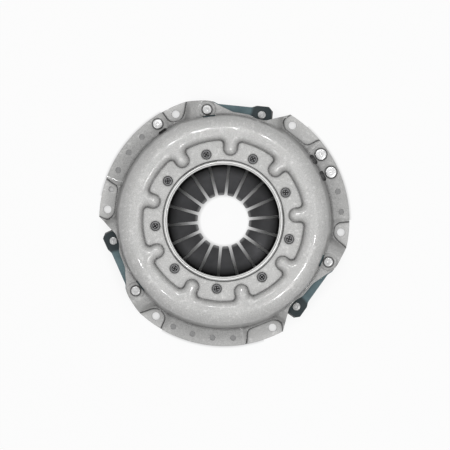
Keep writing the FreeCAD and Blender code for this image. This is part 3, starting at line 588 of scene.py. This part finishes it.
def triangulated(loops, points, inside_edges=1, closest=1e-6):
    """Flat mesh between the loops: its points, its triangles, and the number of each loop's point."""
    flat = np.concatenate(loops + [points])
    edges = []
    first = 0
    for loop in loops:
        count = len(loop)
        edges += [(first + i, first + (i + 1) % count) for i in range(count)]
        first += count
    result = delaunay_2d_cdt([Vector(p) for p in flat], edges, [], inside_edges, closest, True)
    plan = np.array([tuple(v) for v in result[0]])
    faces = np.array([f for f in result[2] if len(f) == 3])
    faces = faces[inside_sheet(plan[faces].mean(axis=1), loops)]
    source = np.array([o[0] if o else -1 for o in result[3]])
    place = np.full(len(flat), -1)
    place[source[source >= 0]] = np.flatnonzero(source >= 0)
    return plan, faces, place


def band(ring, other):
    """Triangles between two closed rings of points, given by their numbers."""
    other_next = np.roll(other, -1)
    return [np.column_stack([ring, other, other_next]),
            np.column_stack([ring, other_next, np.roll(ring, -1)])]


def make_mesh(name, verts, faces, normals=None):
    mesh = bpy.data.meshes.new(name)
    corners = faces.tolist() if isinstance(faces, np.ndarray) else faces
    mesh.from_pydata((np.asarray(verts) * MM).tolist(), [], corners)
    mesh.shade_smooth()
    if normals is not None:
        mesh.normals_split_custom_set_from_vertices(np.asarray(normals).tolist())
    mesh.update()
    piece = bpy.data.objects.new(name, mesh)
    bpy.context.scene.collection.objects.link(piece)
    return piece


def sheet_mesh(name, outline, holes, points, top_of, bottom_of, edge=0.3, clear=0.45):
    """Closed sheet over a flat outline with holes: top and bottom skins and a softly broken rim."""
    loops = []
    for index, loop in enumerate([outline] + holes):
        wanted = signed_area(loop) > 0
        loops.append(loop if wanted == (index == 0) else loop[::-1])
    insets = [loop + loop_normals(loop) * edge for loop in loops]
    points = points[inside_sheet(points, insets)]
    for loop in insets:
        points = away_from_loop(points, loop, clear)
    plan, faces, place = triangulated(insets, points)
    top, top_normal = top_of(plan)
    bottom, bottom_normal = bottom_of(plan)
    count = len(plan)
    verts = [np.column_stack([plan, top]), np.column_stack([plan, bottom])]
    normals = [top_normal, -bottom_normal]
    polygons = [faces, faces[:, ::-1] + count]
    total = 2 * count
    first = 0
    for loop in loops:
        size = len(loop)
        inner = place[first:first + size]
        first += size
        upper = top_of(loop)[0] - edge
        lower = np.minimum(bottom_of(loop)[0] + edge, upper)
        verts += [np.column_stack([loop, upper]), np.column_stack([loop, lower])]
        normals += [np.column_stack([-loop_normals(loop), np.zeros(size)])] * 2
        steps = np.arange(size)
        rings = [inner, total + steps, total + size + steps, inner + count]
        for ring, other in zip(rings, rings[1:]):
            polygons += band(ring, other)
        total += 2 * size
    return make_mesh(name, np.concatenate(verts), np.concatenate(polygons), np.concatenate(normals))


def build_cover():
    coarse = 1.0
    return sheet_mesh("cover_sheet", cover_outline(), hole_loops(), cover_points(coarse),
                      cover_skin(0), cover_skin(SHEET))


def station(points, index):
    """Points given along and across a strap station, moved to that station of the cover."""
    return turned(np.asarray(points) + np.array([0, RIVET_OUT]), THIRD * index)


def spring_height(radius, soft=1.2):
    """Middle of the spring's thickness: a cone with a softly bent finger tip."""
    bend = PIVOT_HEIGHT + (PIVOT_RADIUS - FINGER_BEND) * SPRING_SLOPE
    cone = PIVOT_HEIGHT + (PIVOT_RADIUS - radius) * SPRING_SLOPE
    tip = bend + (FINGER_BEND - radius) * TIP_SLOPE
    blend = np.maximum(soft - np.abs(cone - tip), 0) ** 2 / (4 * soft)
    return np.minimum(cone, tip) - blend


def spring_skin(side, step=0.05):
    """Upper skin of the spring for a side of 1, lower skin for -1."""
    def skin(plan):
        radius = np.linalg.norm(plan, axis=1)
        slope = (spring_height(radius + step) - spring_height(radius - step)) / (2 * step)
        lean = np.sqrt(1 + slope ** 2)
        normal = np.column_stack([-slope[:, None] * plan / radius[:, None], np.ones(len(plan))])
        height = spring_height(radius) + side * SPRING_THICK / 2 * lean
        return height, normal / lean[:, None]
    return skin


def finger_loop():
    """Inner outline of the spring: finger tips, slots and the keyholes at their ends."""
    half = FINGER_SLOT / 2
    tip = math.sqrt(FINGER_TIP ** 2 - half ** 2)
    mouth = tip + MOUTH_LENGTH
    past_corner = (tip - TIP_SAG, half + TIP_RUN)
    neck = RIVET_CIRCLE - math.sqrt(KEYHOLE ** 2 - half ** 2)
    opening = math.asin(half / KEYHOLE)
    around = np.linspace(math.pi + opening, 3 * math.pi - opening, 34)
    keyhole = on_circle(around, KEYHOLE) + np.array([RIVET_CIRCLE, 0])
    side = rounded_path([(mouth, half), (tip, half), past_corner], [0, TIP_ROUND, 0], step=1.1)
    side = side[side[:, 1] < half + TIP_ROUND]
    run = np.linspace(neck, mouth, 34)[:-1]
    upper = np.concatenate([np.stack([run, np.full(len(run), half)], axis=1), side])
    lower = upper[::-1] * np.array([1, -1])
    slot = np.concatenate([lower, keyhole[1:-1], upper])
    edge = math.degrees(math.atan2(upper[-1][1], upper[-1][0]))
    tips = on_circle(np.radians(np.linspace(edge, FINGER_STEP - edge, 10)[1:-1]), FINGER_TIP)
    finger = np.concatenate([slot, tips])
    return np.concatenate([turned(finger, angle) for angle in range(RIB_ANGLE, 360, FINGER_STEP)])


def build_spring(step_in=0.8):
    rim = on_circle(full_turn(count=420), SPRING_OUTER)
    step = 1.7
    points = ring_points(FINGER_TIP + step_in, SPRING_OUTER, step)
    spring = sheet_mesh("diaphragm_spring_steel", rim, [finger_loop()], points,
                        spring_skin(1), spring_skin(-1), edge=0.35, clear=0.6)
    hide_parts("diaphragm_spring")
    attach(spring, "cover")
    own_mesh(spring)
    return spring


def leaf_loop():
    """Outline of a strap leaf: a narrow middle that flares to two wide ends."""
    side = [(0, -LEAF_WAIST), (LEAF_BEND, -LEAF_WAIST), (LEAF_BEND + LEAF_FLARE, -LEAF_HALF),
            (LEAF_REACH, -LEAF_HALF)]
    mirrored = [(x, -y) for x, y in reversed(side)]
    half = rounded_path(side + mirrored, LEAF_ROUNDS, step=1.6)
    return np.concatenate([half[:-1], -half[:-1]])


def leaf_skin(index, level):
    def skin(plan):
        along = turned(plan, -THIRD * index)[:, 0]
        t = np.clip((along + LEAF_BEND) / (2 * LEAF_BEND), 0, 1)
        drop = PLATE_LIFT * t * t * (3 - 2 * t)
        slope = -PLATE_LIFT * 6 * t * (1 - t) / (2 * LEAF_BEND)
        way = turned([(1, 0)], THIRD * index)[0]
        normal = np.column_stack([-slope * way[0], -slope * way[1], np.ones(len(plan))])
        return PACK_TOP - level - drop, normal / np.linalg.norm(normal, axis=1, keepdims=True)
    return skin


def build_leaf(index, layer, step=1.9):
    across = np.arange(-LEAF_HALF, LEAF_HALF + 0.1, step)
    along = np.arange(-LEAF_REACH, LEAF_REACH + 0.1, step)
    points = np.array([(x, y) for x in along for y in across])
    leaf = sheet_mesh("strap_%d%s" % (index + 1, "abc"[layer]), station(leaf_loop(), index), [],
                      station(points, index), leaf_skin(index, layer * LEAF + LEAF_GAP),
                      leaf_skin(index, (layer + 1) * LEAF - LEAF_GAP), edge=0.18, clear=0.5)
    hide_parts("strap_leaf_%d%s" % (index + 1, "abc"[layer]))
    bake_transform(leaf)
    return leaf


def revolved(name, centre, rows, segments, sharp):
    """Turned piece from rows of radius and height; the first and the last row are points on the axis."""
    a = full_turn(segments)
    verts = [(centre[0], centre[1], rows[0][1])]
    for radius, heights in rows[1:-1]:
        verts += [(centre[0] + radius * math.cos(t), centre[1] + radius * math.sin(t), z)
                  for t, z in zip(a, np.broadcast_to(heights, segments))]
    verts.append((centre[0], centre[1], rows[-1][1]))
    last = 1 + (len(rows) - 3) * segments
    faces = []
    for i in range(segments):
        j = (i + 1) % segments
        faces.append((0, 1 + j, 1 + i))
        for low in range(1, last, segments):
            high = low + segments
            faces.append((low + i, low + j, high + j, high + i))
        faces.append((last + i, last + j, len(verts) - 1))
    piece = make_mesh(name, verts, faces)
    piece.data.set_sharp_from_angle(angle=math.radians(sharp))
    return piece


def corner_arc(centre, radius, start, end, count=5):
    """Points of a rounded corner in a profile."""
    a = np.radians(np.linspace(start, end, count))
    return [(centre[0] + radius * math.cos(t), centre[1] + radius * math.sin(t)) for t in a]


def rivet_profile(low, high, shank, head, head_base, tail, tail_top):
    """Set rivet: upset tail, shank, and a low round head with a struck dimple."""
    side = head_base + (high - head_base) * HEAD_SIDE
    points = [(0, low)]
    points += corner_arc((tail - TAIL_ROUND, low + TAIL_ROUND), TAIL_ROUND, -90, 0)
    points += corner_arc((tail - TAIL_EDGE, tail_top - TAIL_EDGE), TAIL_EDGE, 0, 90, 3)
    points += [(shank, tail_top), (shank, head_base)]
    points += corner_arc((head - HEAD_EDGE, head_base + HEAD_EDGE), HEAD_EDGE, -90, 0, 3)
    points += corner_arc((head - HEAD_ROUND, side), HEAD_ROUND, 0, HEAD_ROUND_END)
    points += [(head * share, high - HEAD_DOME * share ** 2) for share in HEAD_DOME_SHARES]
    points += [(head * share, high - depth) for share, depth in HEAD_DIMPLE]
    return points


def node_span(node):
    """Centre of a CAD part from above, and its lowest and highest point."""
    low, high = (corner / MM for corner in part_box(node))
    return ((low.x + high.x) / 2, (low.y + high.y) / 2), low.z, high.z


def build_set_rivet(node, name, body, shank, head, head_base, tail, tail_top):
    centre, low, high = node_span(node)
    profile = rivet_profile(low, high, shank, head, head_base, tail, tail_top)
    piece = revolved(name, centre, profile, segments=56, sharp=40)
    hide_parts(node)
    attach(piece, body)
    return piece


def pivot_head_height(radius, angle):
    """Struck top of a pivot rivet: raised rim, ring groove, star cuts and a centre dimple."""
    height = PIVOT_HEAD_TOP - PIVOT_DOME * (radius / PIVOT_HEAD) ** 4
    height -= GROOVE_DEPTH * np.exp(-((radius - GROOVE_RADIUS) / GROOVE_WIDTH) ** 2)
    height -= DIMPLE_DEPTH * np.exp(-(radius / DIMPLE_WIDTH) ** 2)
    across = np.abs(np.sin(angle * 2)) * np.maximum(radius, 0.1) / 2
    star = np.exp(-(across / CUT_WIDTH) ** 2) * np.exp(-((radius - CUT_REACH) / CUT_REACH) ** 4)
    return height - CUT_DEPTH * star


def build_pivot_rivet(index):
    node = "pivot_rivet_%d" % (index + 1)
    centre, low, _ = node_span(node)
    segments = 64
    turn = full_turn(segments) + index
    collar_top = low + COLLAR_THICK
    rows = [(0, low), (PIVOT_COLLAR - COLLAR_BEVEL, low), (PIVOT_COLLAR, low + COLLAR_BEVEL),
            (PIVOT_COLLAR, collar_top - PIVOT_BEVEL), (PIVOT_COLLAR - PIVOT_BEVEL, collar_top),
            (PIVOT_SHANK, collar_top), (PIVOT_SHANK, RING_TOP - SHEET), (PIVOT_NECK, RING_TOP - SHEET),
            (PIVOT_NECK, RING_TOP), (PIVOT_HEAD - PIVOT_BEVEL, RING_TOP),
            (PIVOT_HEAD, RING_TOP + PIVOT_BEVEL)]
    rows += [(radius, pivot_head_height(radius, turn)) for radius in np.linspace(PIVOT_HEAD, 0.3, 18)]
    rows.append((0, pivot_head_height(0.0, 0.0)))
    piece = revolved("star_rivet_%d" % (index + 1), centre, rows, segments, sharp=45)
    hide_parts(node)
    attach(piece, "cover")
    return piece


def grey(level):
    return (level, level, level)


class Nodes:
    """Nodes of one shader tree, with helpers for sums on the places and values in it."""

    def __init__(self, tree):
        self.tree = tree
        self.coordinates = self.node("ShaderNodeTexCoord")
        self.place = self.coordinates.outputs["Object"]

    def node(self, kind, **settings):
        node = self.tree.nodes.new(kind)
        for key, amount in settings.items():
            setattr(node, key, amount)
        return node

    def maths(self, kind, *sources):
        node = self.node("ShaderNodeMath", operation=kind)
        for socket, source in zip(node.inputs, sources):
            if isinstance(source, (int, float)):
                socket.default_value = source
            else:
                self.tree.links.new(source, socket)
        return node.outputs["Value"]

    def spread(self, source, low, high, from_low=0.3, from_high=0.7):
        """Stretch values between from_low and from_high to the span from low to high."""
        node = self.node("ShaderNodeMapRange")
        node.inputs["From Min"].default_value = from_low
        node.inputs["From Max"].default_value = from_high
        node.inputs["To Min"].default_value = low
        node.inputs["To Max"].default_value = high
        self.tree.links.new(source, node.inputs["Value"])
        return node.outputs["Result"]

    def axis(self, source, name):
        """One coordinate of a vector."""
        apart = self.node("ShaderNodeSeparateXYZ")
        self.tree.links.new(source, apart.inputs[0])
        return apart.outputs[name]

    def radius(self):
        """Distance from the clutch axis in metres."""
        flat = self.node("ShaderNodeVectorMath", operation="MULTIPLY")
        flat.inputs[1].default_value = (1, 1, 0)
        self.tree.links.new(self.place, flat.inputs[0])
        length = self.node("ShaderNodeVectorMath", operation="LENGTH")
        self.tree.links.new(flat.outputs[0], length.inputs[0])
        return length.outputs["Value"]

    def around(self):
        """Angle round the clutch axis in radians."""
        return self.maths("ARCTAN2", self.axis(self.place, "Y"), self.axis(self.place, "X"))

    def backdrop_rays(self, level):
        """The level, raised to 1 for rays from the camera, from a glossy face or through glass."""
        path = self.node("ShaderNodeLightPath")
        for ray in ("Is Camera Ray", "Is Glossy Ray", "Is Transmission Ray"):
            level = self.maths("MAXIMUM", level, path.outputs[ray])
        return level


class Finish(Nodes):
    """Principled material with helpers for its procedural detail."""

    def __init__(self, name, **sockets):
        self.material = bpy.data.materials.new(name)
        self.material.use_nodes = True
        super().__init__(self.material.node_tree)
        self.shader = self.tree.nodes["Principled BSDF"]
        for socket, amount in sockets.items():
            self.shader.inputs[socket.replace("_", " ")].default_value = amount

    def noise(self, scale, detail):
        texture = self.node("ShaderNodeTexNoise")
        texture.inputs["Scale"].default_value = scale
        texture.inputs["Detail"].default_value = detail
        self.tree.links.new(self.place, texture.inputs["Vector"])
        return texture.outputs["Fac"]

    def mixed(self, factor, first, second, blend="MIX"):
        """Mix of two colours, each a triple of levels or what a node gives."""
        node = self.node("ShaderNodeMix", data_type="RGBA", blend_type=blend)
        for socket, colour in (("A", first), ("B", second)):
            if isinstance(colour, tuple):
                node.inputs[socket].default_value = (*colour, 1)
            else:
                self.tree.links.new(colour, node.inputs[socket])
        self.tree.links.new(factor, node.inputs["Factor"])
        return node.outputs["Result"]

    def cloudy(self, source, first, second):
        """Two colours in soft patches that follow a noise."""
        return self.mixed(self.spread(source, 0, 1), first, second)

    def tinted(self, source, below, amount):
        """Multiply a colour by an amount where the source is 0, and leave it where the source is 1."""
        return self.mixed(self.maths("SUBTRACT", 1, source), below, amount, "MULTIPLY")

    def corners(self, reach, low, high):
        """Ambient-occlusion mask for painted shade: 0 in tight corners and 1 on open faces."""
        node = self.node("ShaderNodeAmbientOcclusion", samples=SHADE_SAMPLES)
        node.inputs["Distance"].default_value = reach * MM
        return self.spread(node.outputs["AO"], 0, 1, low, high)

    def radius_span(self, start, end):
        """0 at the start radius from the clutch axis and 1 at the end radius."""
        return self.spread(self.radius(), 0, 1, start * MM, end * MM)

    def height_span(self, start, end):
        """0 at the start height and 1 at the end height."""
        return self.spread(self.axis(self.place, "Z"), 0, 1, start * MM, end * MM)

    def link(self, source, socket):
        self.tree.links.new(source, self.shader.inputs[socket])

    def bump(self, height, strength, distance):
        node = self.node("ShaderNodeBump")
        node.inputs["Strength"].default_value = strength
        node.inputs["Distance"].default_value = distance * MM
        self.tree.links.new(height, node.inputs["Height"])
        self.link(node.outputs["Normal"], "Normal")

    def put_on(self, *pieces):
        for piece in pieces:
            piece.data.materials.clear()
            piece.data.materials.append(self.material)


def cover_finish():
    """Grey coat on pressed steel: fine grain, slow waves, rubbed patches, painted shade on the outer
    slope and the flange, painted shade at the lip, painted shade in corners.
    """
    finish = Finish("cover_coat", Metallic=0.15, Coat_Roughness=0.06, Coat_IOR=1.7)
    grain = finish.noise(1300, 2)
    waves = finish.noise(95, 4)
    cloud = finish.noise(28, 3)
    streaks = finish.noise(240, 5)
    tone = finish.cloudy(cloud, (0.455, 0.453, 0.446), (0.525, 0.523, 0.515))
    tone = finish.tinted(finish.spread(grain, 0, 1, 0.4, 0.62), tone, grey(0.68))
    tone = finish.mixed(finish.spread(streaks, 0, 0.45, 0.56, 0.72), tone, (0.68, 0.676, 0.667))
    # Painted shade: darker from the dome's outer slope outwards, over the whole flange.
    tone = finish.tinted(finish.radius_span(124, 112), tone, grey(0.76))
    tone = finish.tinted(finish.height_span(PAD_TOP + 0.15, PAD_TOP + 0.4), tone, grey(1.3))
    # Painted shade in the groove beside the lip and in the hollow of its hem; the bead and the rim are
    # made lighter.
    tone = finish.tinted(finish.radius_span(*LIP_GROOVE), tone, grey(0.3))
    tone = finish.mixed(finish.radius_span(*LIP_BEAD), tone, (0.68, 0.68, 0.67))
    tone = finish.tinted(finish.radius_span(*LIP_HOLLOW), tone, grey(0.1))
    tone = finish.mixed(finish.radius_span(*LIP_RIM), tone, (0.6, 0.6, 0.59))
    # Painted shade in corners from ambient occlusion: broad near the dome's foot, tighter in creases,
    # and near-black lines at the feet of the lobes, pads and lip, where the coat's weight is cut too.
    tone = finish.tinted(finish.corners(26, 0.3, 0.92), tone, grey(0.45))
    tone = finish.tinted(finish.corners(4, 0.55, 0.92), tone, grey(0.5))
    corner = finish.corners(2.6, 0.79, 0.9)
    tone = finish.tinted(corner, tone, grey(0.03))
    finish.link(finish.maths("MULTIPLY", corner, 0.5), "Coat Weight")
    finish.link(tone, "Base Color")
    finish.link(finish.spread(waves, 0.34, 0.5), "Roughness")
    height = finish.maths("ADD", finish.maths("MULTIPLY", grain, 0.16), waves)
    finish.bump(height, 0.6, 0.16)
    return finish


def spring_finish():
    """Dark tempered steel, with painted shade towards the rim under the cover's lip and painted light at
    the finger tips.
    """
    finish = Finish("spring_steel", Metallic=0.4, Specular_IOR_Level=0.12)
    grain = finish.noise(900, 3)
    cloud = finish.noise(40, 4)
    tone = finish.cloudy(cloud, (0.022, 0.022, 0.023), (0.040, 0.040, 0.042))
    # Painted shade: darker towards the rim, where the cover's lip shades the spring.
    tone = finish.tinted(finish.radius_span(62, 52), tone, grey(0.03))
    # Painted light: a glow lightens the finger tips.
    tone = finish.mixed(finish.radius_span(32.5, 28.5), tone, grey(0.2))
    finish.link(tone, "Base Color")
    finish.link(finish.spread(grain, 0.34, 0.52), "Roughness")
    finish.bump(grain, 0.35, 0.05)
    return finish


def strap_finish():
    """Blue tempered steel, darker at the lug end of each strap."""
    finish = Finish("strap_steel", Metallic=0.7)
    cloud = finish.noise(60, 3)
    grain = finish.noise(1100, 2)
    tone = finish.cloudy(cloud, (0.055, 0.085, 0.095), (0.095, 0.135, 0.145))
    turn = finish.maths("FLOORED_MODULO", finish.around(), math.radians(THIRD))
    lug_end = finish.spread(turn, 0, 1, *np.radians(LUG_END).tolist())
    tone = finish.tinted(lug_end, tone, (0.3, 0.27, 0.27))
    finish.link(tone, "Base Color")
    finish.link(finish.spread(grain, 0.28, 0.42), "Roughness")
    finish.bump(grain, 0.3, 0.04)
    return finish


def dark_rivet_finish():
    """Dark steel, with painted shade that makes it nearly black in the struck cuts and round the head.
    """
    finish = Finish("dark_rivet", Metallic=0.7)
    grain = finish.noise(1400, 3)
    tone = finish.cloudy(grain, (0.11, 0.11, 0.112), (0.20, 0.20, 0.203))
    # Painted shade: nearly black where ambient occlusion finds the struck cuts and the corner round the
    # head.
    tone = finish.tinted(finish.corners(1.2, 0.74, 0.97), tone, grey(0.03))
    finish.link(tone, "Base Color")
    finish.link(finish.spread(grain, 0.35, 0.55), "Roughness")
    finish.bump(grain, 0.4, 0.05)
    return finish


def plated_rivet_finish(name, dark, bright):
    """Plated steel between two grey levels, with painted shade in the corner under the head."""
    finish = Finish(name, Metallic=0.5)
    grain = finish.noise(1000, 3)
    cloud = finish.noise(260, 3)
    tone = finish.cloudy(cloud, grey(dark), grey(bright))
    # Painted shade in the corner under the head, from ambient occlusion.
    tone = finish.tinted(finish.corners(1.5, 0.6, 0.93), tone, grey(0.12))
    finish.link(tone, "Base Color")
    finish.link(finish.spread(grain, 0.25, 0.42), "Roughness")
    finish.bump(grain, 0.3, 0.05)
    return finish


def iron_finish():
    """Cast iron, dark grey and a little uneven."""
    finish = Finish("plate_iron", Metallic=0.55)
    grain = finish.noise(700, 5)
    cloud = finish.noise(45, 4)
    tone = finish.cloudy(cloud, (0.085, 0.085, 0.088), (0.15, 0.148, 0.145))
    finish.link(tone, "Base Color")
    finish.link(finish.spread(grain, 0.42, 0.62), "Roughness")
    finish.bump(grain, 0.6, 0.12)
    return finish


def photo_direction(angle, height):
    """Unit vector for an angle in the photograph, from its right side, and a height in degrees."""
    turn = math.radians(angle + PHOTO_TURN)
    level = math.cos(math.radians(height))
    return Vector((math.cos(turn) * level, math.sin(turn) * level, math.sin(math.radians(height))))


def area_light(name, where, length, width, power):
    """Lamp with a flat face, aimed at the middle of the part."""
    data = bpy.data.lights.new(name, "AREA")
    data.shape = "RECTANGLE"
    data.size = length * MM
    data.size_y = width * MM
    data.energy = power
    lamp = bpy.data.objects.new(name, data)
    lamp.location = where
    aim = Vector((0, 0, 0)) - where
    lamp.rotation_euler = aim.to_track_quat("-Z", "Y").to_euler()
    lamp.visible_camera = False
    bpy.context.scene.collection.objects.link(lamp)


def light_scene():
    area_light("overhead", Vector((0, 0, OVERHEAD_HEIGHT * MM)), OVERHEAD_SIZE, OVERHEAD_SIZE,
               OVERHEAD_POWER)
    for index, (angle, height, length, power) in enumerate(GLINTS):
        where = photo_direction(angle, height) * (GLINT_DISTANCE * MM)
        area_light("glint_%d" % (index + 1), where, length, GLINT_WIDTH, power)
    world = bpy.data.worlds.new("studio")
    bpy.context.scene.world = world
    world.use_nodes = True
    sky = Nodes(world.node_tree)
    rise = sky.axis(sky.coordinates.outputs["Generated"], "Z")
    strength = sky.backdrop_rays(sky.spread(rise, WORLD_LOW, 1, 0, 1))
    background = sky.tree.nodes["Background"]
    background.inputs["Color"].default_value = (1, 1, 1, 1)
    sky.tree.links.new(strength, background.inputs["Strength"])


def share_ramp(floor, radius, stops):
    """Backdrop share from stops of radius and level."""
    reach = stops[-1][0]
    node = floor.node("ShaderNodeValToRGB")
    places = node.color_ramp.elements
    places[0].color = (*grey(stops[0][1]), 1)
    places[1].color = (*grey(stops[-1][1]), 1)
    for place, level in stops[1:-1]:
        places.new(place / reach).color = (*grey(level), 1)
    floor.tree.links.new(floor.maths("DIVIDE", radius, reach * MM), node.inputs["Fac"])
    return node.outputs["Color"]


def floor_share(floor):
    """How much of the floor is plain white backdrop: all of it round the part, little of it below, where
    that little is painted light on the shaded floor.
    """
    radius = floor.radius()
    angle = floor.around()
    twelfth = TAU / 12
    third = floor.maths("WRAP", angle, 3 * twelfth, -twelfth)
    off_arc = floor.maths("ABSOLUTE", floor.maths("SUBTRACT", third, twelfth))
    pick = floor.node("ShaderNodeMix", data_type="FLOAT")
    open_side = floor.maths("GREATER_THAN", off_arc, math.radians(ARC_HALF_ANGLE))
    floor.tree.links.new(open_side, pick.inputs["Factor"])
    floor.tree.links.new(share_ramp(floor, radius, SHARE_BELOW), pick.inputs["A"])
    floor.tree.links.new(share_ramp(floor, radius, SHARE_BESIDE), pick.inputs["B"])
    sixth = floor.maths("ABSOLUTE", floor.maths("WRAP", angle, twelfth, -twelfth))
    at_bolt = floor.maths("LESS_THAN", sixth, math.radians(BOLT_SHARE_ANGLE))
    off_circle = floor.maths("ABSOLUTE", floor.maths("SUBTRACT", radius, BOLT_RADIUS * MM))
    on_bolts = floor.maths("LESS_THAN", off_circle, BOLT_SHARE_RADIUS * MM)
    bolt = floor.maths("MULTIPLY", at_bolt, on_bolts)
    share = floor.maths("MULTIPLY", pick.outputs["Result"], floor.maths("SUBTRACT", 1, bolt))
    share = floor.maths("MULTIPLY_ADD", bolt, BOLT_SHARE, share)
    return floor.maths("MULTIPLY", share, floor.backdrop_rays(0))


def floor_material():
    """Grey floor with painted shade under the part, mixed with the plain white of the backdrop."""
    material = bpy.data.materials.new("floor")
    material.use_nodes = True
    floor = Nodes(material.node_tree)
    shader = floor.tree.nodes["Principled BSDF"]
    shader.inputs["Roughness"].default_value = FLOOR_ROUGHNESS
    # Painted shade: ambient occlusion darkens the floor's grey under and beside the part.
    covered = floor.node("ShaderNodeAmbientOcclusion", samples=SHADE_SAMPLES)
    covered.inputs["Distance"].default_value = FLOOR_SHADE_REACH * MM
    tone = floor.node("ShaderNodeValToRGB")
    for element, (position, level) in zip(tone.color_ramp.elements, FLOOR_SHADE):
        element.position = position
        element.color = (*grey(level), 1)
    floor.tree.links.new(covered.outputs["AO"], tone.inputs["Fac"])
    floor.tree.links.new(tone.outputs["Color"], shader.inputs["Base Color"])
    glow = floor.node("ShaderNodeEmission")
    mix = floor.node("ShaderNodeMixShader")
    for socket, source in zip(mix.inputs, (floor_share(floor), shader.outputs[0], glow.outputs[0])):
        floor.tree.links.new(source, socket)
    floor.tree.links.new(mix.outputs[0], floor.tree.nodes["Material Output"].inputs["Surface"])
    return material


def build_floor():
    half = FLOOR_HALF * MM
    mesh = bpy.data.meshes.new("floor")
    mesh.from_pydata([(-half, -half, 0), (half, -half, 0), (half, half, 0), (-half, half, 0)],
                     [], [(0, 1, 2, 3)])
    mesh.materials.append(floor_material())
    floor = bpy.data.objects.new("floor", mesh)
    floor.location.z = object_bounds()[0][2]
    bpy.context.scene.collection.objects.link(floor)


def place_camera():
    """Camera high over the part, leant a little, so that the flange's centre falls on its pixel."""
    right = photo_direction(0, 0)
    up = photo_direction(90, 0)
    lean = math.radians(CAMERA_LEAN)
    middle = PHOTO_SIZE / 2
    aim = (right * (middle - CENTRE_PIXEL[0]) + up * (CENTRE_PIXEL[1] - middle)) * PIXEL * MM
    aim.z = SHEET * MM
    back = right * math.sin(lean) + Vector((0, 0, math.cos(lean)))
    side = right * math.cos(lean) - Vector((0, 0, math.sin(lean)))
    data = bpy.data.cameras.new("camera")
    data.sensor_width = SENSOR
    data.lens = SENSOR * CAMERA_DISTANCE / (PHOTO_SIZE * PIXEL)
    data.clip_end = CAMERA_REACH * MM
    camera = bpy.data.objects.new("camera", data)
    bpy.context.scene.collection.objects.link(camera)
    turn = Matrix((side, up, back)).transposed().to_4x4()
    camera.matrix_world = Matrix.Translation(aim + back * (CAMERA_DISTANCE * MM)) @ turn
    bpy.context.scene.camera = camera


cover = build_cover()
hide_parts("cover_shell")
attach(cover, "cover")
cover_finish().put_on(cover)

spring = build_spring()
steel = spring_finish()
steel.put_on(spring, frame["nodes"]["upper_pivot_ring"], frame["nodes"]["lower_pivot_ring"])

leaves = [build_leaf(index, layer) for index in range(3) for layer in range(3)]
strap_finish().put_on(*leaves)

dark_rivet_finish().put_on(*[build_pivot_rivet(index) for index in range(9)])

strap_heads = []
lug_heads = []
balance_heads = []
for number, balance_head in enumerate(BALANCE_HEADS, 1):
    strap_heads.append(build_set_rivet(
        "cover_strap_rivet_%d" % number, "strap_head_%d" % number, "cover",
        head_base=SHELF_TOP - SEAT_DROP, tail_top=PACK_TOP - 3 * LEAF, **STRAP_RIVET))
    lug_heads.append(build_set_rivet(
        "lug_rivet_%d" % number, "lug_head_%d" % number, "pressure_plate_body",
        head_base=PACK_TOP - PLATE_LIFT, tail_top=LUG_BOTTOM, **LUG_RIVET))
    balance_heads.append(build_set_rivet(
        "balance_rivet_%d" % number, "balance_head_%d" % number, "cover",
        head=balance_head, head_base=RAISED_TOP, tail_top=RAISED_TOP - SHEET, **BALANCE_RIVET))
plated_rivet_finish("strap_rivet_steel", 0.36, 0.52).put_on(*strap_heads)
plated_rivet_finish("lug_rivet_steel", 0.22, 0.4).put_on(*lug_heads)
plated_rivet_finish("bright_rivet", 0.5, 0.68).put_on(*balance_heads)

iron_finish().put_on(frame["nodes"]["pressure_plate"])

light_scene()
build_floor()
place_camera()

bpy.context.scene.view_settings.view_transform = "Standard"
